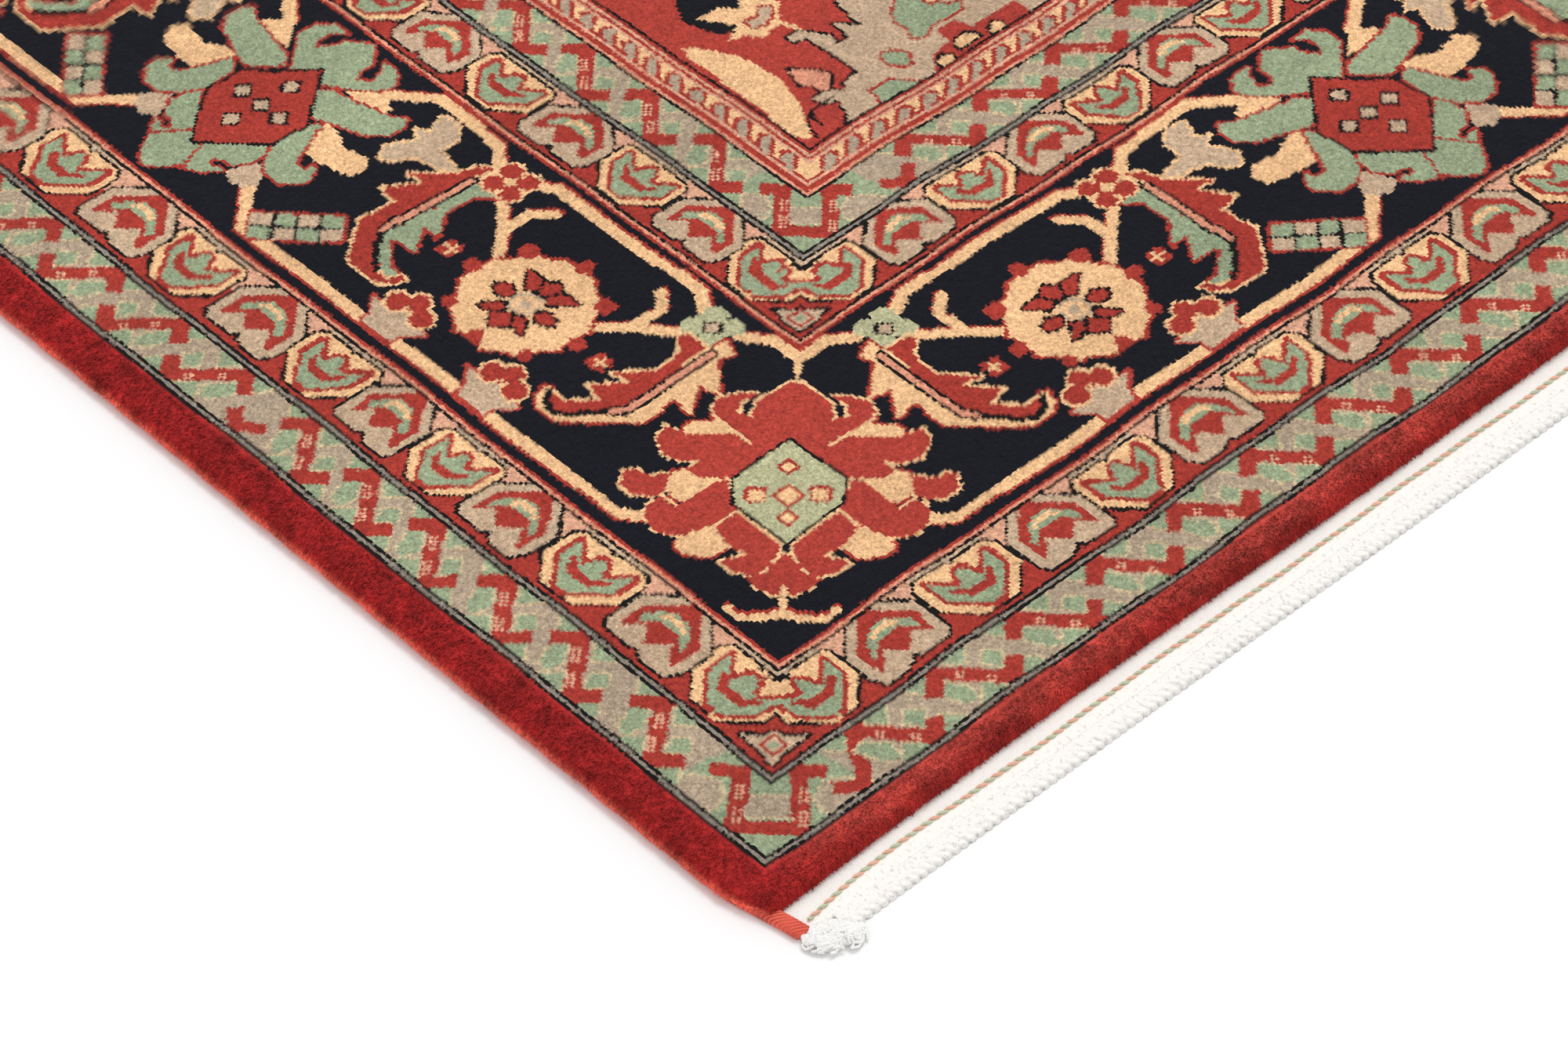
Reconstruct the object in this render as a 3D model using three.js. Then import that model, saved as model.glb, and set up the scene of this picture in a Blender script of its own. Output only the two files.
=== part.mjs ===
// A hand-knotted wool area rug, lying flat. Millimetres, +Z up, +X across the width, +Y along the
// length, origin at the middle of the underside. Every piece is a plain closed solid of the right
// size in the right place: the knots, weave and fibres are finer than this model.
import * as THREE from "three";

// ---- Driving dimensions ----
const LINE_HALF_X = 1282; // centre to the dark line that starts the patterned pile, across
const LINE_HALF_Y = 1812; // the same along the length
const GAP = 0.3; // clearance between pieces that touch

const WEB_THICK = 3.0; // cotton warps and wefts under the knots
const KILIM_THICK = 2.4; // the same warps, flat-woven without knots
const RUG_THICK = 12.0; // underside to the tips of the pile
const PILE_FOOT = WEB_THICK + GAP;
const PILE_DEEP = RUG_THICK - PILE_FOOT;

const PILE_PAST_LINE_END = 21; // plain red pile beyond the line, at the two short ends
const SELVEDGE_IN = 17; // outward from the line to the inner side of the overcast selvedge
const SELVEDGE_WIDE = 12.5;
const SELVEDGE_HIGH = 6.2;
const SELVEDGE_WALL = 1.1; // thickness of the wool wrapped round the core
const SELVEDGE_PAST_LINE = 48;
const SELVEDGE_ROUND = 2.6; // corner radius of the overcast, outside
const SELVEDGE_BORE_ROUND = 1.6; // and inside, round the core
const CORE_ROUND = 1.4;
const CORE_SHORTER = 2; // the core stops this far inside the wrap at both ends

// The plain pile on the long sides leans out over the selvedge: its lip and its shoulder.
const LIP_IN = 2.0;
const LIP_RISE = 2.5;
const SHOULDER_IN = 3.0;

const KILIM_OUT = 47; // outward from the line to the outer edge of the flat weave
const BRAID_OUT = 62; // and to the outer edge of the braided warp ends
const BRAID_HIGH = 5.0;
const BRAID_ROUND = 2.2;
const THREAD_OUT = 34.5; // the two coloured twining threads lie here on the flat weave
const THREAD_RADIUS = 0.8;
const THREAD_SHORTER = 2; // the threads stop this far inside the flat weave's sides
const THREAD_SIDES = 6;

// A tassel's middle, outward from the line across and along the rug, and its half sizes.
const TASSEL = { outX: 1, outY: 60, radiusX: 14, radiusY: 11.4, radiusZ: 4.5 };

const PULL_IN = 11; // the long sides draw in this much at the four corners
const PULL_START = -20; // outward from the line, where that begins
const PULL_LENGTH = 80;
const PULL_STEP = 8; // length of one straight stretch of that bend

// How far each ring of the design starts inside the line.
const RINGS = [
  { name: "outer_latch", from: 0, to: 55.2, colour: 0x9db38b },
  { name: "outer_guard", from: 55.2, to: 119.6, colour: 0xc28f6c },
  { name: "main_border", from: 119.6, to: 317.4, colour: 0x14161f },
  { name: "inner_guard", from: 317.4, to: 377.2, colour: 0xc28f6c },
  { name: "inner_latch", from: 377.2, to: 425.5, colour: 0x9db38b },
  { name: "comb_band", from: 425.5, to: 455.4, colour: 0xd79a78 },
];
const FIELD_FROM = 455.4;

const finish = (color, roughness) => new THREE.MeshStandardMaterial({ color, roughness, metalness: 0 });
const RED_PILE = finish(0x9d2a28, 0.95);
const RED_WRAP = finish(0xc04a3c, 0.85);
const COTTON = finish(0xeae4da, 0.95);
const SALMON_THREAD = finish(0xe0a88c, 0.9);
const GREEN_THREAD = finish(0xb4c3a0, 0.9);

const rug = new THREE.Group();

function add(name, geometry, material, x = 0, y = 0, z = 0) {
  const mesh = new THREE.Mesh(geometry, material);
  mesh.name = name;
  mesh.position.set(x, y, z);
  rug.add(mesh);
}

// How far the long sides have drawn in at y: nothing along most of the length, PULL_IN at the ends.
function pullIn(y) {
  const along = (Math.abs(y) - LINE_HALF_Y - PULL_START) / PULL_LENGTH;
  return PULL_IN * THREE.MathUtils.smoothstep(along, 0, 1);
}

// Half-width of the woven web at y, up to the overcast selvedge.
const webHalf = (y) => LINE_HALF_X + SELVEDGE_IN - pullIn(y);

// Places along Y, from y0 to y1, close together only where the long sides bend.
function stations(y0, y1) {
  const bend = LINE_HALF_Y + PULL_START;
  const inside = [];
  for (let out = 0; out < PULL_LENGTH; out += PULL_STEP) inside.push(-bend - out, bend + out);
  const shortest = 1;
  const between = inside.filter((y) => y > y0 + shortest && y < y1 - shortest);
  return [y0, ...between.sort((a, b) => a - b), y1];
}

// A flat sheet whose two sides follow the web's edge, from y0 to y1.
function sheet(y0, y1, thick) {
  const right = stations(y0, y1).map((y) => new THREE.Vector2(webHalf(y) - GAP, y));
  const left = right.map((p) => new THREE.Vector2(-p.x, p.y)).reverse();
  const shape = new THREE.Shape([...right, ...left]);
  return new THREE.ExtrudeGeometry(shape, { depth: thick, bevelEnabled: false });
}

// A closed skin through cross-sections of equal point count. Each is a list of Vector3 that turns
// counter-clockwise seen from where the loft starts; holed sections close on themselves as a ring.
function loft(sections, ring = false) {
  const count = sections[0].length;
  const positions = sections.flat().flatMap((p) => [p.x, p.y, p.z]);
  const faces = [];
  const quad = (a, b, c, d) => faces.push(a, b, c, a, c, d);
  const last = sections.length - 1;
  const half = count / 2;
  for (let s = 0; s < last; s++) {
    for (let i = 0; i < count; i++) {
      const next = ring ? (i < half ? (i + 1) % half : half + ((i + 1 - half) % half)) : (i + 1) % count;
      const low = s * count;
      quad(low + i, low + count + i, low + count + next, low + next);
    }
  }
  if (ring) {
    // The inner loop runs the other way round, so its point i faces the outer loop's point half - i.
    for (let i = 0; i < half; i++) {
      const next = (i + 1) % half;
      const inner = half + ((half - i) % half);
      const innerNext = half + ((half - i - 1 + half) % half);
      const end = last * count;
      quad(i, next, innerNext, inner);
      quad(end + i, end + inner, end + innerNext, end + next);
    }
  } else {
    for (let i = 1; i < count - 1; i++) {
      faces.push(0, i, i + 1);
      faces.push(last * count, last * count + i + 1, last * count + i);
    }
  }
  const geometry = new THREE.BufferGeometry();
  geometry.setAttribute("position", new THREE.Float32BufferAttribute(positions, 3));
  geometry.setIndex(faces);
  geometry.computeVertexNormals();
  return geometry;
}

// Points of a rounded bar's section: width w, height h, centred on (middle, z), corner radius r.
function roundedSection(middle, z, w, h, r, perCorner = 3) {
  const points = [];
  const corners = [
    [1, 1, 0],
    [-1, 1, 1],
    [-1, -1, 2],
    [1, -1, 3],
  ];
  for (const [sideX, sideZ, quarter] of corners) {
    for (let i = 0; i < perCorner; i++) {
      const turn = (quarter + i / (perCorner - 1)) * (Math.PI / 2);
      const x = middle + sideX * (w / 2 - r) + r * Math.cos(turn);
      points.push([x, z + sideZ * (h / 2 - r) + r * Math.sin(turn)]);
    }
  }
  return points;
}

// One side's selvedge: a cotton core and the wool wrapped round it. side is -1 for left, 1 for right.
function selvedge(side, name) {
  const end = LINE_HALF_Y + SELVEDGE_PAST_LINE;
  const middleX = (y) => side * (webHalf(y) + SELVEDGE_WIDE / 2);
  const z = SELVEDGE_HIGH / 2;
  const coreWide = SELVEDGE_WIDE - 2 * SELVEDGE_WALL - 2 * GAP;
  const coreHigh = SELVEDGE_HIGH - 2 * SELVEDGE_WALL - 2 * GAP;
  const place = (points, y) => points.map(([x, up]) => new THREE.Vector3(x, y, up));
  const outer = (y) => roundedSection(middleX(y), z, SELVEDGE_WIDE, SELVEDGE_HIGH, SELVEDGE_ROUND);
  const innerWide = SELVEDGE_WIDE - 2 * SELVEDGE_WALL;
  const innerHigh = SELVEDGE_HIGH - 2 * SELVEDGE_WALL;
  const inner = (y) => {
    const points = roundedSection(middleX(y), z, innerWide, innerHigh, SELVEDGE_BORE_ROUND);
    const [first, ...rest] = points;
    return [first, ...rest.reverse()];
  };
  const wrap = stations(-end, end).map((y) => place([...outer(y), ...inner(y)], y));
  const coreEnd = end - CORE_SHORTER;
  const core = stations(-coreEnd, coreEnd).map((y) =>
    place(roundedSection(middleX(y), z, coreWide, coreHigh, CORE_ROUND), y),
  );
  add(`selvedge_overcast_${name}`, loft(wrap, true), RED_WRAP);
  add(`selvedge_core_${name}`, loft(core), COTTON);
}

// The plain red pile on one long side. It stands on the web and leans out over the selvedge.
function sidePile(side, name) {
  const end = LINE_HALF_Y + PILE_PAST_LINE_END;
  const overSelvedge = SELVEDGE_HIGH + GAP;
  const section = (y) => {
    const web = webHalf(y) - GAP;
    const points = [
      [LINE_HALF_X + GAP / 2, PILE_FOOT],
      [web, PILE_FOOT],
      [web, overSelvedge],
      [web + SELVEDGE_WIDE - LIP_IN, overSelvedge],
      [web + SELVEDGE_WIDE, overSelvedge + LIP_RISE],
      [web + SELVEDGE_WIDE - SHOULDER_IN, RUG_THICK],
      [LINE_HALF_X + GAP / 2, RUG_THICK],
    ];
    const placed = points.map(([x, z]) => new THREE.Vector3(side * x, y, z));
    return side > 0 ? placed : placed.reverse();
  };
  add(`pile_outer_band_${name}`, loft(stations(-end, end).map(section)), RED_PILE);
}

// The plain red pile across one short end, between the two long sides' pile.
function endPile(end, name) {
  const shape = new THREE.Shape();
  shape.moveTo(-LINE_HALF_X, 0);
  shape.lineTo(LINE_HALF_X, 0);
  shape.lineTo(LINE_HALF_X, PILE_PAST_LINE_END);
  shape.lineTo(-LINE_HALF_X, PILE_PAST_LINE_END);
  const geometry = new THREE.ExtrudeGeometry(shape, { depth: PILE_DEEP, bevelEnabled: false });
  const inner = LINE_HALF_Y + GAP / 2;
  const y = end > 0 ? inner : -inner - PILE_PAST_LINE_END;
  add(`pile_outer_band_${name}`, geometry, RED_PILE, 0, y, PILE_FOOT);
}

// One ring of the design: four strips of knotted pile that meet at mitred corners.
function ringPile({ name, from, to, colour }) {
  const material = finish(colour, 0.95);
  const sides = [
    { side: "near", turn: 0, half: LINE_HALF_X, reach: LINE_HALF_Y },
    { side: "right", turn: 1, half: LINE_HALF_Y, reach: LINE_HALF_X },
    { side: "far", turn: 2, half: LINE_HALF_X, reach: LINE_HALF_Y },
    { side: "left", turn: 3, half: LINE_HALF_Y, reach: LINE_HALF_X },
  ];
  for (const { side, turn, half, reach } of sides) {
    const outY = -reach + from + GAP / 2;
    const inY = -reach + to - GAP / 2;
    const outX = half - from - GAP;
    const inX = half - to;
    const shape = new THREE.Shape();
    shape.moveTo(-outX, outY);
    shape.lineTo(outX, outY);
    shape.lineTo(inX, inY);
    shape.lineTo(-inX, inY);
    const geometry = new THREE.ExtrudeGeometry(shape, { depth: PILE_DEEP, bevelEnabled: false });
    geometry.rotateZ((turn * Math.PI) / 2);
    add(`pile_${name}_${side}`, geometry, material, 0, 0, PILE_FOOT);
  }
}

function fieldPile() {
  const halfX = LINE_HALF_X - FIELD_FROM - GAP / 2;
  const halfY = LINE_HALF_Y - FIELD_FROM - GAP / 2;
  const geometry = new THREE.BoxGeometry(2 * halfX, 2 * halfY, PILE_DEEP);
  add("pile_field", geometry, RED_PILE, 0, 0, PILE_FOOT + PILE_DEEP / 2);
}

// A straight thread along X.
function thread(name, material, half, y) {
  const section = new THREE.Shape();
  for (let i = 0; i < THREAD_SIDES; i++) {
    const turn = (2 * Math.PI * i) / THREAD_SIDES;
    const point = [THREAD_RADIUS * Math.cos(turn), THREAD_RADIUS * Math.sin(turn)];
    if (i === 0) section.moveTo(...point);
    else section.lineTo(...point);
  }
  const geometry = new THREE.ExtrudeGeometry(section, { depth: 2 * half, bevelEnabled: false });
  geometry.translate(0, 0, -half);
  geometry.rotateY(Math.PI / 2);
  add(name, geometry, material, 0, y, KILIM_THICK + GAP + THREAD_RADIUS);
}

// Everything beyond the pile at one short end: flat weave, twining threads, braid and tassels.
function wovenEnd(end, name) {
  const inner = LINE_HALF_Y + PILE_PAST_LINE_END + GAP;
  const outer = LINE_HALF_Y + KILIM_OUT;
  const [y0, y1] = end > 0 ? [inner, outer] : [-outer, -inner];
  add(`kilim_end_${name}`, sheet(y0, y1, KILIM_THICK), COTTON);

  const threadY = LINE_HALF_Y + THREAD_OUT;
  const threadHalf = webHalf(threadY) - THREAD_SHORTER;
  const apart = THREAD_RADIUS + GAP / 2;
  thread(`twining_thread_salmon_${name}`, SALMON_THREAD, threadHalf, end * (threadY - apart));
  thread(`twining_thread_green_${name}`, GREEN_THREAD, threadHalf, end * (threadY + apart));

  const braidInner = outer + GAP;
  const braidWide = LINE_HALF_Y + BRAID_OUT - braidInner;
  const middle = end * (braidInner + braidWide / 2);
  const half = LINE_HALF_X + TASSEL.outX - TASSEL.radiusX - GAP;
  const section = roundedSection(middle, BRAID_HIGH / 2, braidWide, BRAID_HIGH, BRAID_ROUND);
  const at = (x) => section.map(([y, z]) => new THREE.Vector3(x, y, z)).reverse();
  add(`end_braid_${name}`, loft([at(-half), at(half)]), COTTON);

  for (const [side, word] of [[-1, "left"], [1, "right"]]) {
    const ball = new THREE.SphereGeometry(1, 16, 10);
    ball.scale(TASSEL.radiusX, TASSEL.radiusY, TASSEL.radiusZ);
    const x = side * (LINE_HALF_X + TASSEL.outX);
    const y = end * (LINE_HALF_Y + TASSEL.outY);
    add(`corner_tassel_${name}_${word}`, ball, COTTON, x, y, TASSEL.radiusZ);
  }
}

const webEnd = LINE_HALF_Y + PILE_PAST_LINE_END;
add("foundation_web", sheet(-webEnd, webEnd, WEB_THICK), COTTON);
sidePile(-1, "left");
sidePile(1, "right");
endPile(-1, "near");
endPile(1, "far");
RINGS.forEach(ringPile);
fieldPile();
selvedge(-1, "left");
selvedge(1, "right");
wovenEnd(-1, "near");
wovenEnd(1, "far");

export default rug;
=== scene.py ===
"""A hand-knotted wool area rug: its looks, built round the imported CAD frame.

Lengths are millimetres up to the point where a mesh is made, and x, y, z are the frame's own.
The design is knotted knot by knot on a chart of one quarter of the rug. The pile takes its colours
from that chart, and the other three quarters are its mirror images.
"""
import math

import bpy
import numpy as np
from mathutils import Matrix, Vector


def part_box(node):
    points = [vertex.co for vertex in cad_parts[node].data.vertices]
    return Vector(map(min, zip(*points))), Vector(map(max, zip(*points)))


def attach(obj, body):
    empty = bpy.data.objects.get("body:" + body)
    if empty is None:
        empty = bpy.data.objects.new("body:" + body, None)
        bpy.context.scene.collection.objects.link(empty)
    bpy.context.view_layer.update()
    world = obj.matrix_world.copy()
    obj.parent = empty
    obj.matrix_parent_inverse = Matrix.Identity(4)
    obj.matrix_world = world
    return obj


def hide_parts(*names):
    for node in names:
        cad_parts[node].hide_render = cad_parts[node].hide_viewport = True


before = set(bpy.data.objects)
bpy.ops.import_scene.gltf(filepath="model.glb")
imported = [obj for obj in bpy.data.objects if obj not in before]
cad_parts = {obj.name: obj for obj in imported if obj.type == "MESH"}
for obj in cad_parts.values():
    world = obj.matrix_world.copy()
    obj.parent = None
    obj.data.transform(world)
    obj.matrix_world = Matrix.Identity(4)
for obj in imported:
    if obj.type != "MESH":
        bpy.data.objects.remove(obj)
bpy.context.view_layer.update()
MM = 0.001
rng = np.random.default_rng(11)


def cad(node, corner, axis):
    """One coordinate of a CAD node's box, in millimetres. corner is 0 for lowest, 1 for highest."""
    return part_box(node)[corner][axis] / MM


# ---- The rug's driving dimensions, from the frame ----
LINE_HALF_X = round(-cad("pile_outer_latch_left", 0, 0))  # centre to the outer dark line, across
LINE_HALF_Y = round(-cad("pile_outer_latch_near", 0, 1))  # the same along the length
PILE_TOP = cad("pile_field", 1, 2)
KNOT = 2.3  # one knot's width and height

# ---- The wools: a knot's number on the chart is its wool's place in WOOL_COLOURS ----
RED, NAVY, CREAM, TAUPE, SALMON, MINT, BLACK, GREY, ROSE, SAND, LIME, STONE, PEACH = range(13)

# How far inside the outer line each band of the design starts and ends.
OUTER_LATCH = (6.9, 48.3)
OUTER_GUARD = (55.2, 112.7)
MAIN_BORDER = (119.6, 317.4)
INNER_GUARD = (324.3, 374.9)
INNER_LATCH = (381.8, 418.6)
COMB_BAND = (430.1, 443.9)
FIELD_FROM = 455.4

# Where the first cartouches of the guards stand, along the near side and along the left one.
OUTER_NEAR = (116, 183, 252, 321, 386, 456, 523, 592, 660, 727)
OUTER_LEFT = (121, 188, 259, 328, 390, 452, 514, 581, 653, 719, 793, 862)
INNER_NEAR = (382, 446, 510, 574, 636, 701, 764)
INNER_LEFT = (386, 448, 514, 580, 648, 716)

# How far out from the outer line the ends' threads are twined, and the weave past them is fully open.
TWINED_AT = 34.0
OPEN_FROM = 44

# The main border repeats between a red palmette, a mint palmette and the next red palmette.
MINT_PALMETTE = 750
RED_PALMETTE = LINE_HALF_X
NEXT_MINT_PALMETTE = LINE_HALF_Y


def inside(points, x, y):
    """Which of the places x, y an outline holds."""
    held = np.zeros(x.shape, bool)
    for (x0, y0), (x1, y1) in zip(points, points[1:] + points[:1]):
        if y0 != y1:
            held ^= ((y0 > y) != (y1 > y)) & (x < x0 + (y - y0) * (x1 - x0) / (y1 - y0))
    return held


def away(points, x, y, closed):
    """How far the places x, y are from a chain of straight stretches."""
    nearest = np.full(x.shape, np.inf)
    ends = points[1:] + points[:1] if closed else points[1:]
    for (x0, y0), (x1, y1) in zip(points, ends):
        dx, dy = x1 - x0, y1 - y0
        share = np.clip(((x - x0) * dx + (y - y0) * dy) / max(dx * dx + dy * dy, 1e-9), 0, 1)
        nearest = np.minimum(nearest, np.hypot(x - x0 - share * dx, y - y0 - share * dy))
    return nearest


def curved(points, closed=True, steps=4):
    """A smooth curve through the points."""
    p = np.array(points, float)
    if closed:
        p = np.concatenate([p[-1:], p, p[:2]])
    else:
        p = np.concatenate([2 * p[:1] - p[1:2], p, 2 * p[-1:] - p[-2:-1]])
    curve = []
    for a, b, c, d in zip(p, p[1:], p[2:], p[3:]):
        for t in np.arange(steps) / steps:
            bend = (2 * a - 5 * b + 4 * c - d) * t**2 + (3 * b - a - 3 * c + d) * t**3
            curve.append(tuple(b + 0.5 * ((c - a) * t + bend)))
    return curve if closed else curve + [tuple(p[-2])]


def ring(centre, radius, sides=12):
    turns = [2 * math.pi * i / sides for i in range(sides)]
    return [(centre[0] + radius * math.cos(t), centre[1] + radius * math.sin(t)) for t in turns]


def diamond(centre, radius):
    return ring(centre, radius, 4)


def square(centre, half):
    s, d = centre
    return [(s - half, d - half), (s + half, d - half), (s + half, d + half), (s - half, d + half)]


class Chart:
    """The knotting chart of a stretch of rug: which wool each knot has.

    A point is (along, deep) in millimetres from the corner of the outer line. place moves each
    point of a motif to where this copy of the motif goes.
    """

    def __init__(self, along, deep, wool):
        self.wool = np.full((round(along / KNOT) + 1, round(deep / KNOT) + 1), wool, np.int8)
        self.place = None
        self.allowed = None

    def window(self, points, reach):
        """The knots near some points, and the places of their middles."""
        low = [max(0, int((min(p[k] for p in points) - reach) / KNOT)) for k in (0, 1)]
        high = [max(0, int((max(p[k] for p in points) + reach) / KNOT) + 2) for k in (0, 1)]
        part = (slice(low[0], high[0]), slice(low[1], high[1]))
        shape = self.wool[part].shape
        x, y = np.meshgrid(np.arange(shape[0]), np.arange(shape[1]), indexing="ij")
        return part, (x + low[0] + 0.5) * KNOT, (y + low[1] + 0.5) * KNOT

    def put(self, part, chosen, wool):
        if self.allowed is not None:
            chosen = chosen & self.allowed[part]
        self.wool[part][chosen] = wool

    def placed(self, points):
        return [self.place(p) for p in points] if self.place else list(points)

    def shape(self, points, wool, edge=None, soft=False, wide=KNOT):
        """Fills an outline, with a line of another wool round it."""
        points = self.placed(curved(points) if soft else points)
        part, x, y = self.window(points, wide + KNOT)
        held = inside(points, x, y)
        if edge is not None:
            self.put(part, ~held & (away(points, x, y, True) < wide), edge)
        self.put(part, held, wool)

    def line(self, points, wool, wide, edge=None, soft=False, closed=False):
        """Knots a line of some width, with an edge of another wool on both sides."""
        points = self.placed(curved(points, closed) if soft else points)
        part, x, y = self.window(points, wide + KNOT)
        distance = away(points, x, y, closed)
        if edge is not None:
            self.put(part, distance < wide / 2 + KNOT, edge)
        self.put(part, distance < wide / 2, wool)

    def bands(self, start, wools):
        """Lines one knot wide, side by side and deeper and deeper."""
        first = round(start / KNOT)
        for i, wool in enumerate(wools):
            self.wool[:, first + i] = wool

    def fill_depth(self, span, wool):
        self.wool[:, round(span[0] / KNOT) : round(span[1] / KNOT)] = wool


def repeat(origin, facing=1):
    """Where a motif drawn in the first repeat of the border goes in another one."""
    return lambda p: (origin + facing * p[0], p[1])


def moved(home, centre, turn=0.0, size=1.0, flip=1):
    """Where a motif drawn round home goes when it is set down, turned and resized, round centre."""
    c, s = size * math.cos(turn), size * math.sin(turn)

    def place(p):
        x, y = flip * (p[0] - home[0]), p[1] - home[1]
        return (centre[0] + c * x - s * y, centre[1] + s * x + c * y)

    return place


def strip(points, wide):
    """The outline of a strip of some width along a path, square at both ends."""
    p = np.array(points, float)
    along = np.diff(p, axis=0)
    along /= np.linalg.norm(along, axis=1, keepdims=True)
    out = np.stack([-along[:, 1], along[:, 0]], 1)
    turning = 1 + (out[:-1] * out[1:]).sum(1, keepdims=True)
    out = np.concatenate([out[:1], (out[:-1] + out[1:]) / turning, out[-1:]]) * wide / 2
    return [tuple(q) for q in np.concatenate([p + out, (p - out)[::-1]])]


def swapped(points):
    """The same outline on the other side of the rug's diagonal."""
    return [(y, x) for x, y in points]


# ---- Motifs of the main border, drawn in its first repeat ----
def stems(chart):
    """The vine, cream with a red line on the side that faces the border's edge."""
    lower = [(262, 150), (283, 134.5), (660, 134), (697, 168)]
    upper = [
        [(286, 292), (309, 311.5), (333, 311.5), (351, 298)],
        [(385, 298), (400, 307.5), (542, 305.5), (556, 296)],
        [(586, 293), (604, 309), (668, 310.5), (697, 287)],
    ]
    for points, outward in [(lower, -1)] + [(p, 1) for p in upper]:
        chart.line([(s, d + outward * KNOT) for s, d in points], RED, 9)
        chart.line(points, CREAM, 9)
    for towards in (1, -1):
        about = [(470 + towards * (s - 470), d) for s, d in [(378, 274), (400, 257), (425, 232)]]
        side = [(470 + towards * (s - 470), d) for s, d in [(405, 252), (404, 277), (417, 289)]]
        for points in (about, side):
            chart.line([(s, d + KNOT * 0.9) for s, d in points], RED, 8)
        for points in (about, side):
            chart.line(points, CREAM, 8)


def mint_flower(chart):
    for centre in ((361, 301), (377, 301), (361, 283), (378, 283)):
        chart.shape(ring(centre, 8.5), LIME)
    chart.shape([(356, 287), (356, 298), (383, 298), (383, 287)], LIME)
    chart.shape(diamond((369, 291.5), 5.5), TAUPE, BLACK)


def cream_leaf(chart):
    """Leaf with a cream and a red blade either side of a salmon midrib."""
    cream = [
        (354, 290), (341, 284), (342, 272), (316, 250), (334, 249), (318, 226), (335, 227),
        (334, 199), (356, 176), (375, 160), (390, 160), (400, 167), (402, 177), (397, 180),
        (396, 172), (388, 166), (378, 166), (357, 188), (347, 199), (346, 250), (349, 273), (355, 282),
    ]
    red = [
        (356, 277), (375, 276), (377, 270), (365, 260), (363, 238), (382, 217), (368, 218),
        (384, 197), (366, 196), (382, 178), (397, 176), (388, 169), (378, 169), (357, 191), (354, 205),
    ]
    hook = [(352, 199), (357, 190), (371, 172), (379, 166), (390, 167), (397, 176)]
    chart.shape(cream, CREAM, RED)
    chart.shape(red, RED, CREAM)
    chart.line([(350, 274)] + hook, BLACK, 5)
    chart.line([(350, 274), (350, 199), (355, 192)], SALMON, 5, BLACK)


def little_cross(chart, centre):
    for turn in (0.25, 0.75, 1.25, 1.75):
        petal = (centre[0] + 5 * math.cos(turn * math.pi), centre[1] + 5 * math.sin(turn * math.pi))
        chart.shape(ring(petal, 4.4, 8), RED)
    for dx, dy in ((5, 0), (0, 5)):
        ends = [(centre[0] - dx, centre[1] - dy), (centre[0] + dx, centre[1] + dy)]
        chart.line(ends, CREAM, 2.2)


def rosette(chart, centre=(470, 217)):
    s0, d0 = centre
    scallops = []
    for i in range(24):
        reach = 50 if i % 2 else 46
        scallops.append((s0 + reach * math.cos(i * math.pi / 12), d0 + reach * math.sin(i * math.pi / 12)))
    chart.shape(scallops, CREAM, RED)
    knobs = [(0, 52, 7), (-52, 0, 7), (52, 0, 7), (-38, 36, 8), (38, 36, 8), (-37, -32, 6), (37, -33, 6)]
    for ds, dd, size in knobs:
        chart.shape(ring((s0 + ds, d0 + dd), size, 8), RED)
    notch = [(-9, -50), (9, -50), (5, -41), (0, -36), (-5, -41)]
    chart.shape([(s0 + x, d0 + y) for x, y in notch], RED)
    dart = [(-9, 22), (0, 30), (9, 22), (0, 12)]
    for up in (1, -1):
        chart.shape([(s0 + x, d0 + up * y) for x, y in dart], RED, BLACK)
    for side in (1, -1):
        high = [(24, 24), (11, 25), (5, 14), (11, 10)]
        low = [(21, -21), (10, -20), (5, -12), (11, -8)]
        for wing in (high, low):
            chart.shape([(s0 + side * x, d0 + y) for x, y in wing], RED, BLACK)
        eye = [(s0 + side * (20 + 8 * x), d0 + 5.5 * y) for x, y in ring((0, 0), 1, 8)]
        chart.shape(eye, RED, BLACK)
    chart.shape(ring(centre, 8.5), CREAM, TAUPE)
    chart.shape(ring(centre, 5), TAUPE)


def trefoil_bud(chart, s):
    base = [
        (s - 25, 151), (s - 13, 153), (s, 157), (s + 15, 153), (s + 28, 152), (s + 16, 140),
        (s + 15, 131), (s - 14, 131), (s - 14, 140),
    ]
    chart.shape(base, TAUPE, ROSE)
    for centre in ((s, 168), (s - 12, 160), (s + 12, 160)):
        chart.shape(ring(centre, 8.5), RED, CREAM)
    for centre in ((s, 167), (s - 11, 160), (s + 11, 160)):
        chart.shape(ring(centre, 7.5), RED)


def red_quatrefoil(chart, centre=(568.5, 288.5)):
    s0, d0 = centre
    for ds in (-8, 8):
        for dd in (-8.3, 8.3):
            chart.shape(ring((s0 + ds, d0 + dd), 8), RED, CREAM)
    chart.line([(s0 - 15, d0), (s0 + 15, d0)], CREAM, 2)
    chart.shape(diamond(centre, 6), CREAM, RED)


def mint_leaf(chart):
    mint = [
        (563, 272), (584, 271), (583, 235), (589, 196), (575, 180), (562, 170), (552, 170), (545, 176),
        (560, 178), (579, 194), (577, 198), (559, 198), (574, 220), (558, 217), (574, 236), (575, 260),
    ]
    red = [
        (586, 292), (598, 284), (600, 270), (623, 247), (608, 248), (623, 225), (606, 222), (608, 203),
        (611, 195), (598, 178), (587, 163), (575, 160), (556, 160), (545, 170), (543, 178), (549, 176),
        (553, 168), (563, 168), (577, 178), (592, 195), (592, 272),
    ]
    chart.shape(mint, MINT, RED)
    chart.shape(red, RED, CREAM)
    chart.line([(588, 271), (588, 235), (591, 196), (577, 178), (565, 169)], BLACK, 5)
    chart.line([(588, 271), (588, 235), (591, 198)], SALMON, 5, BLACK)


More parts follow.
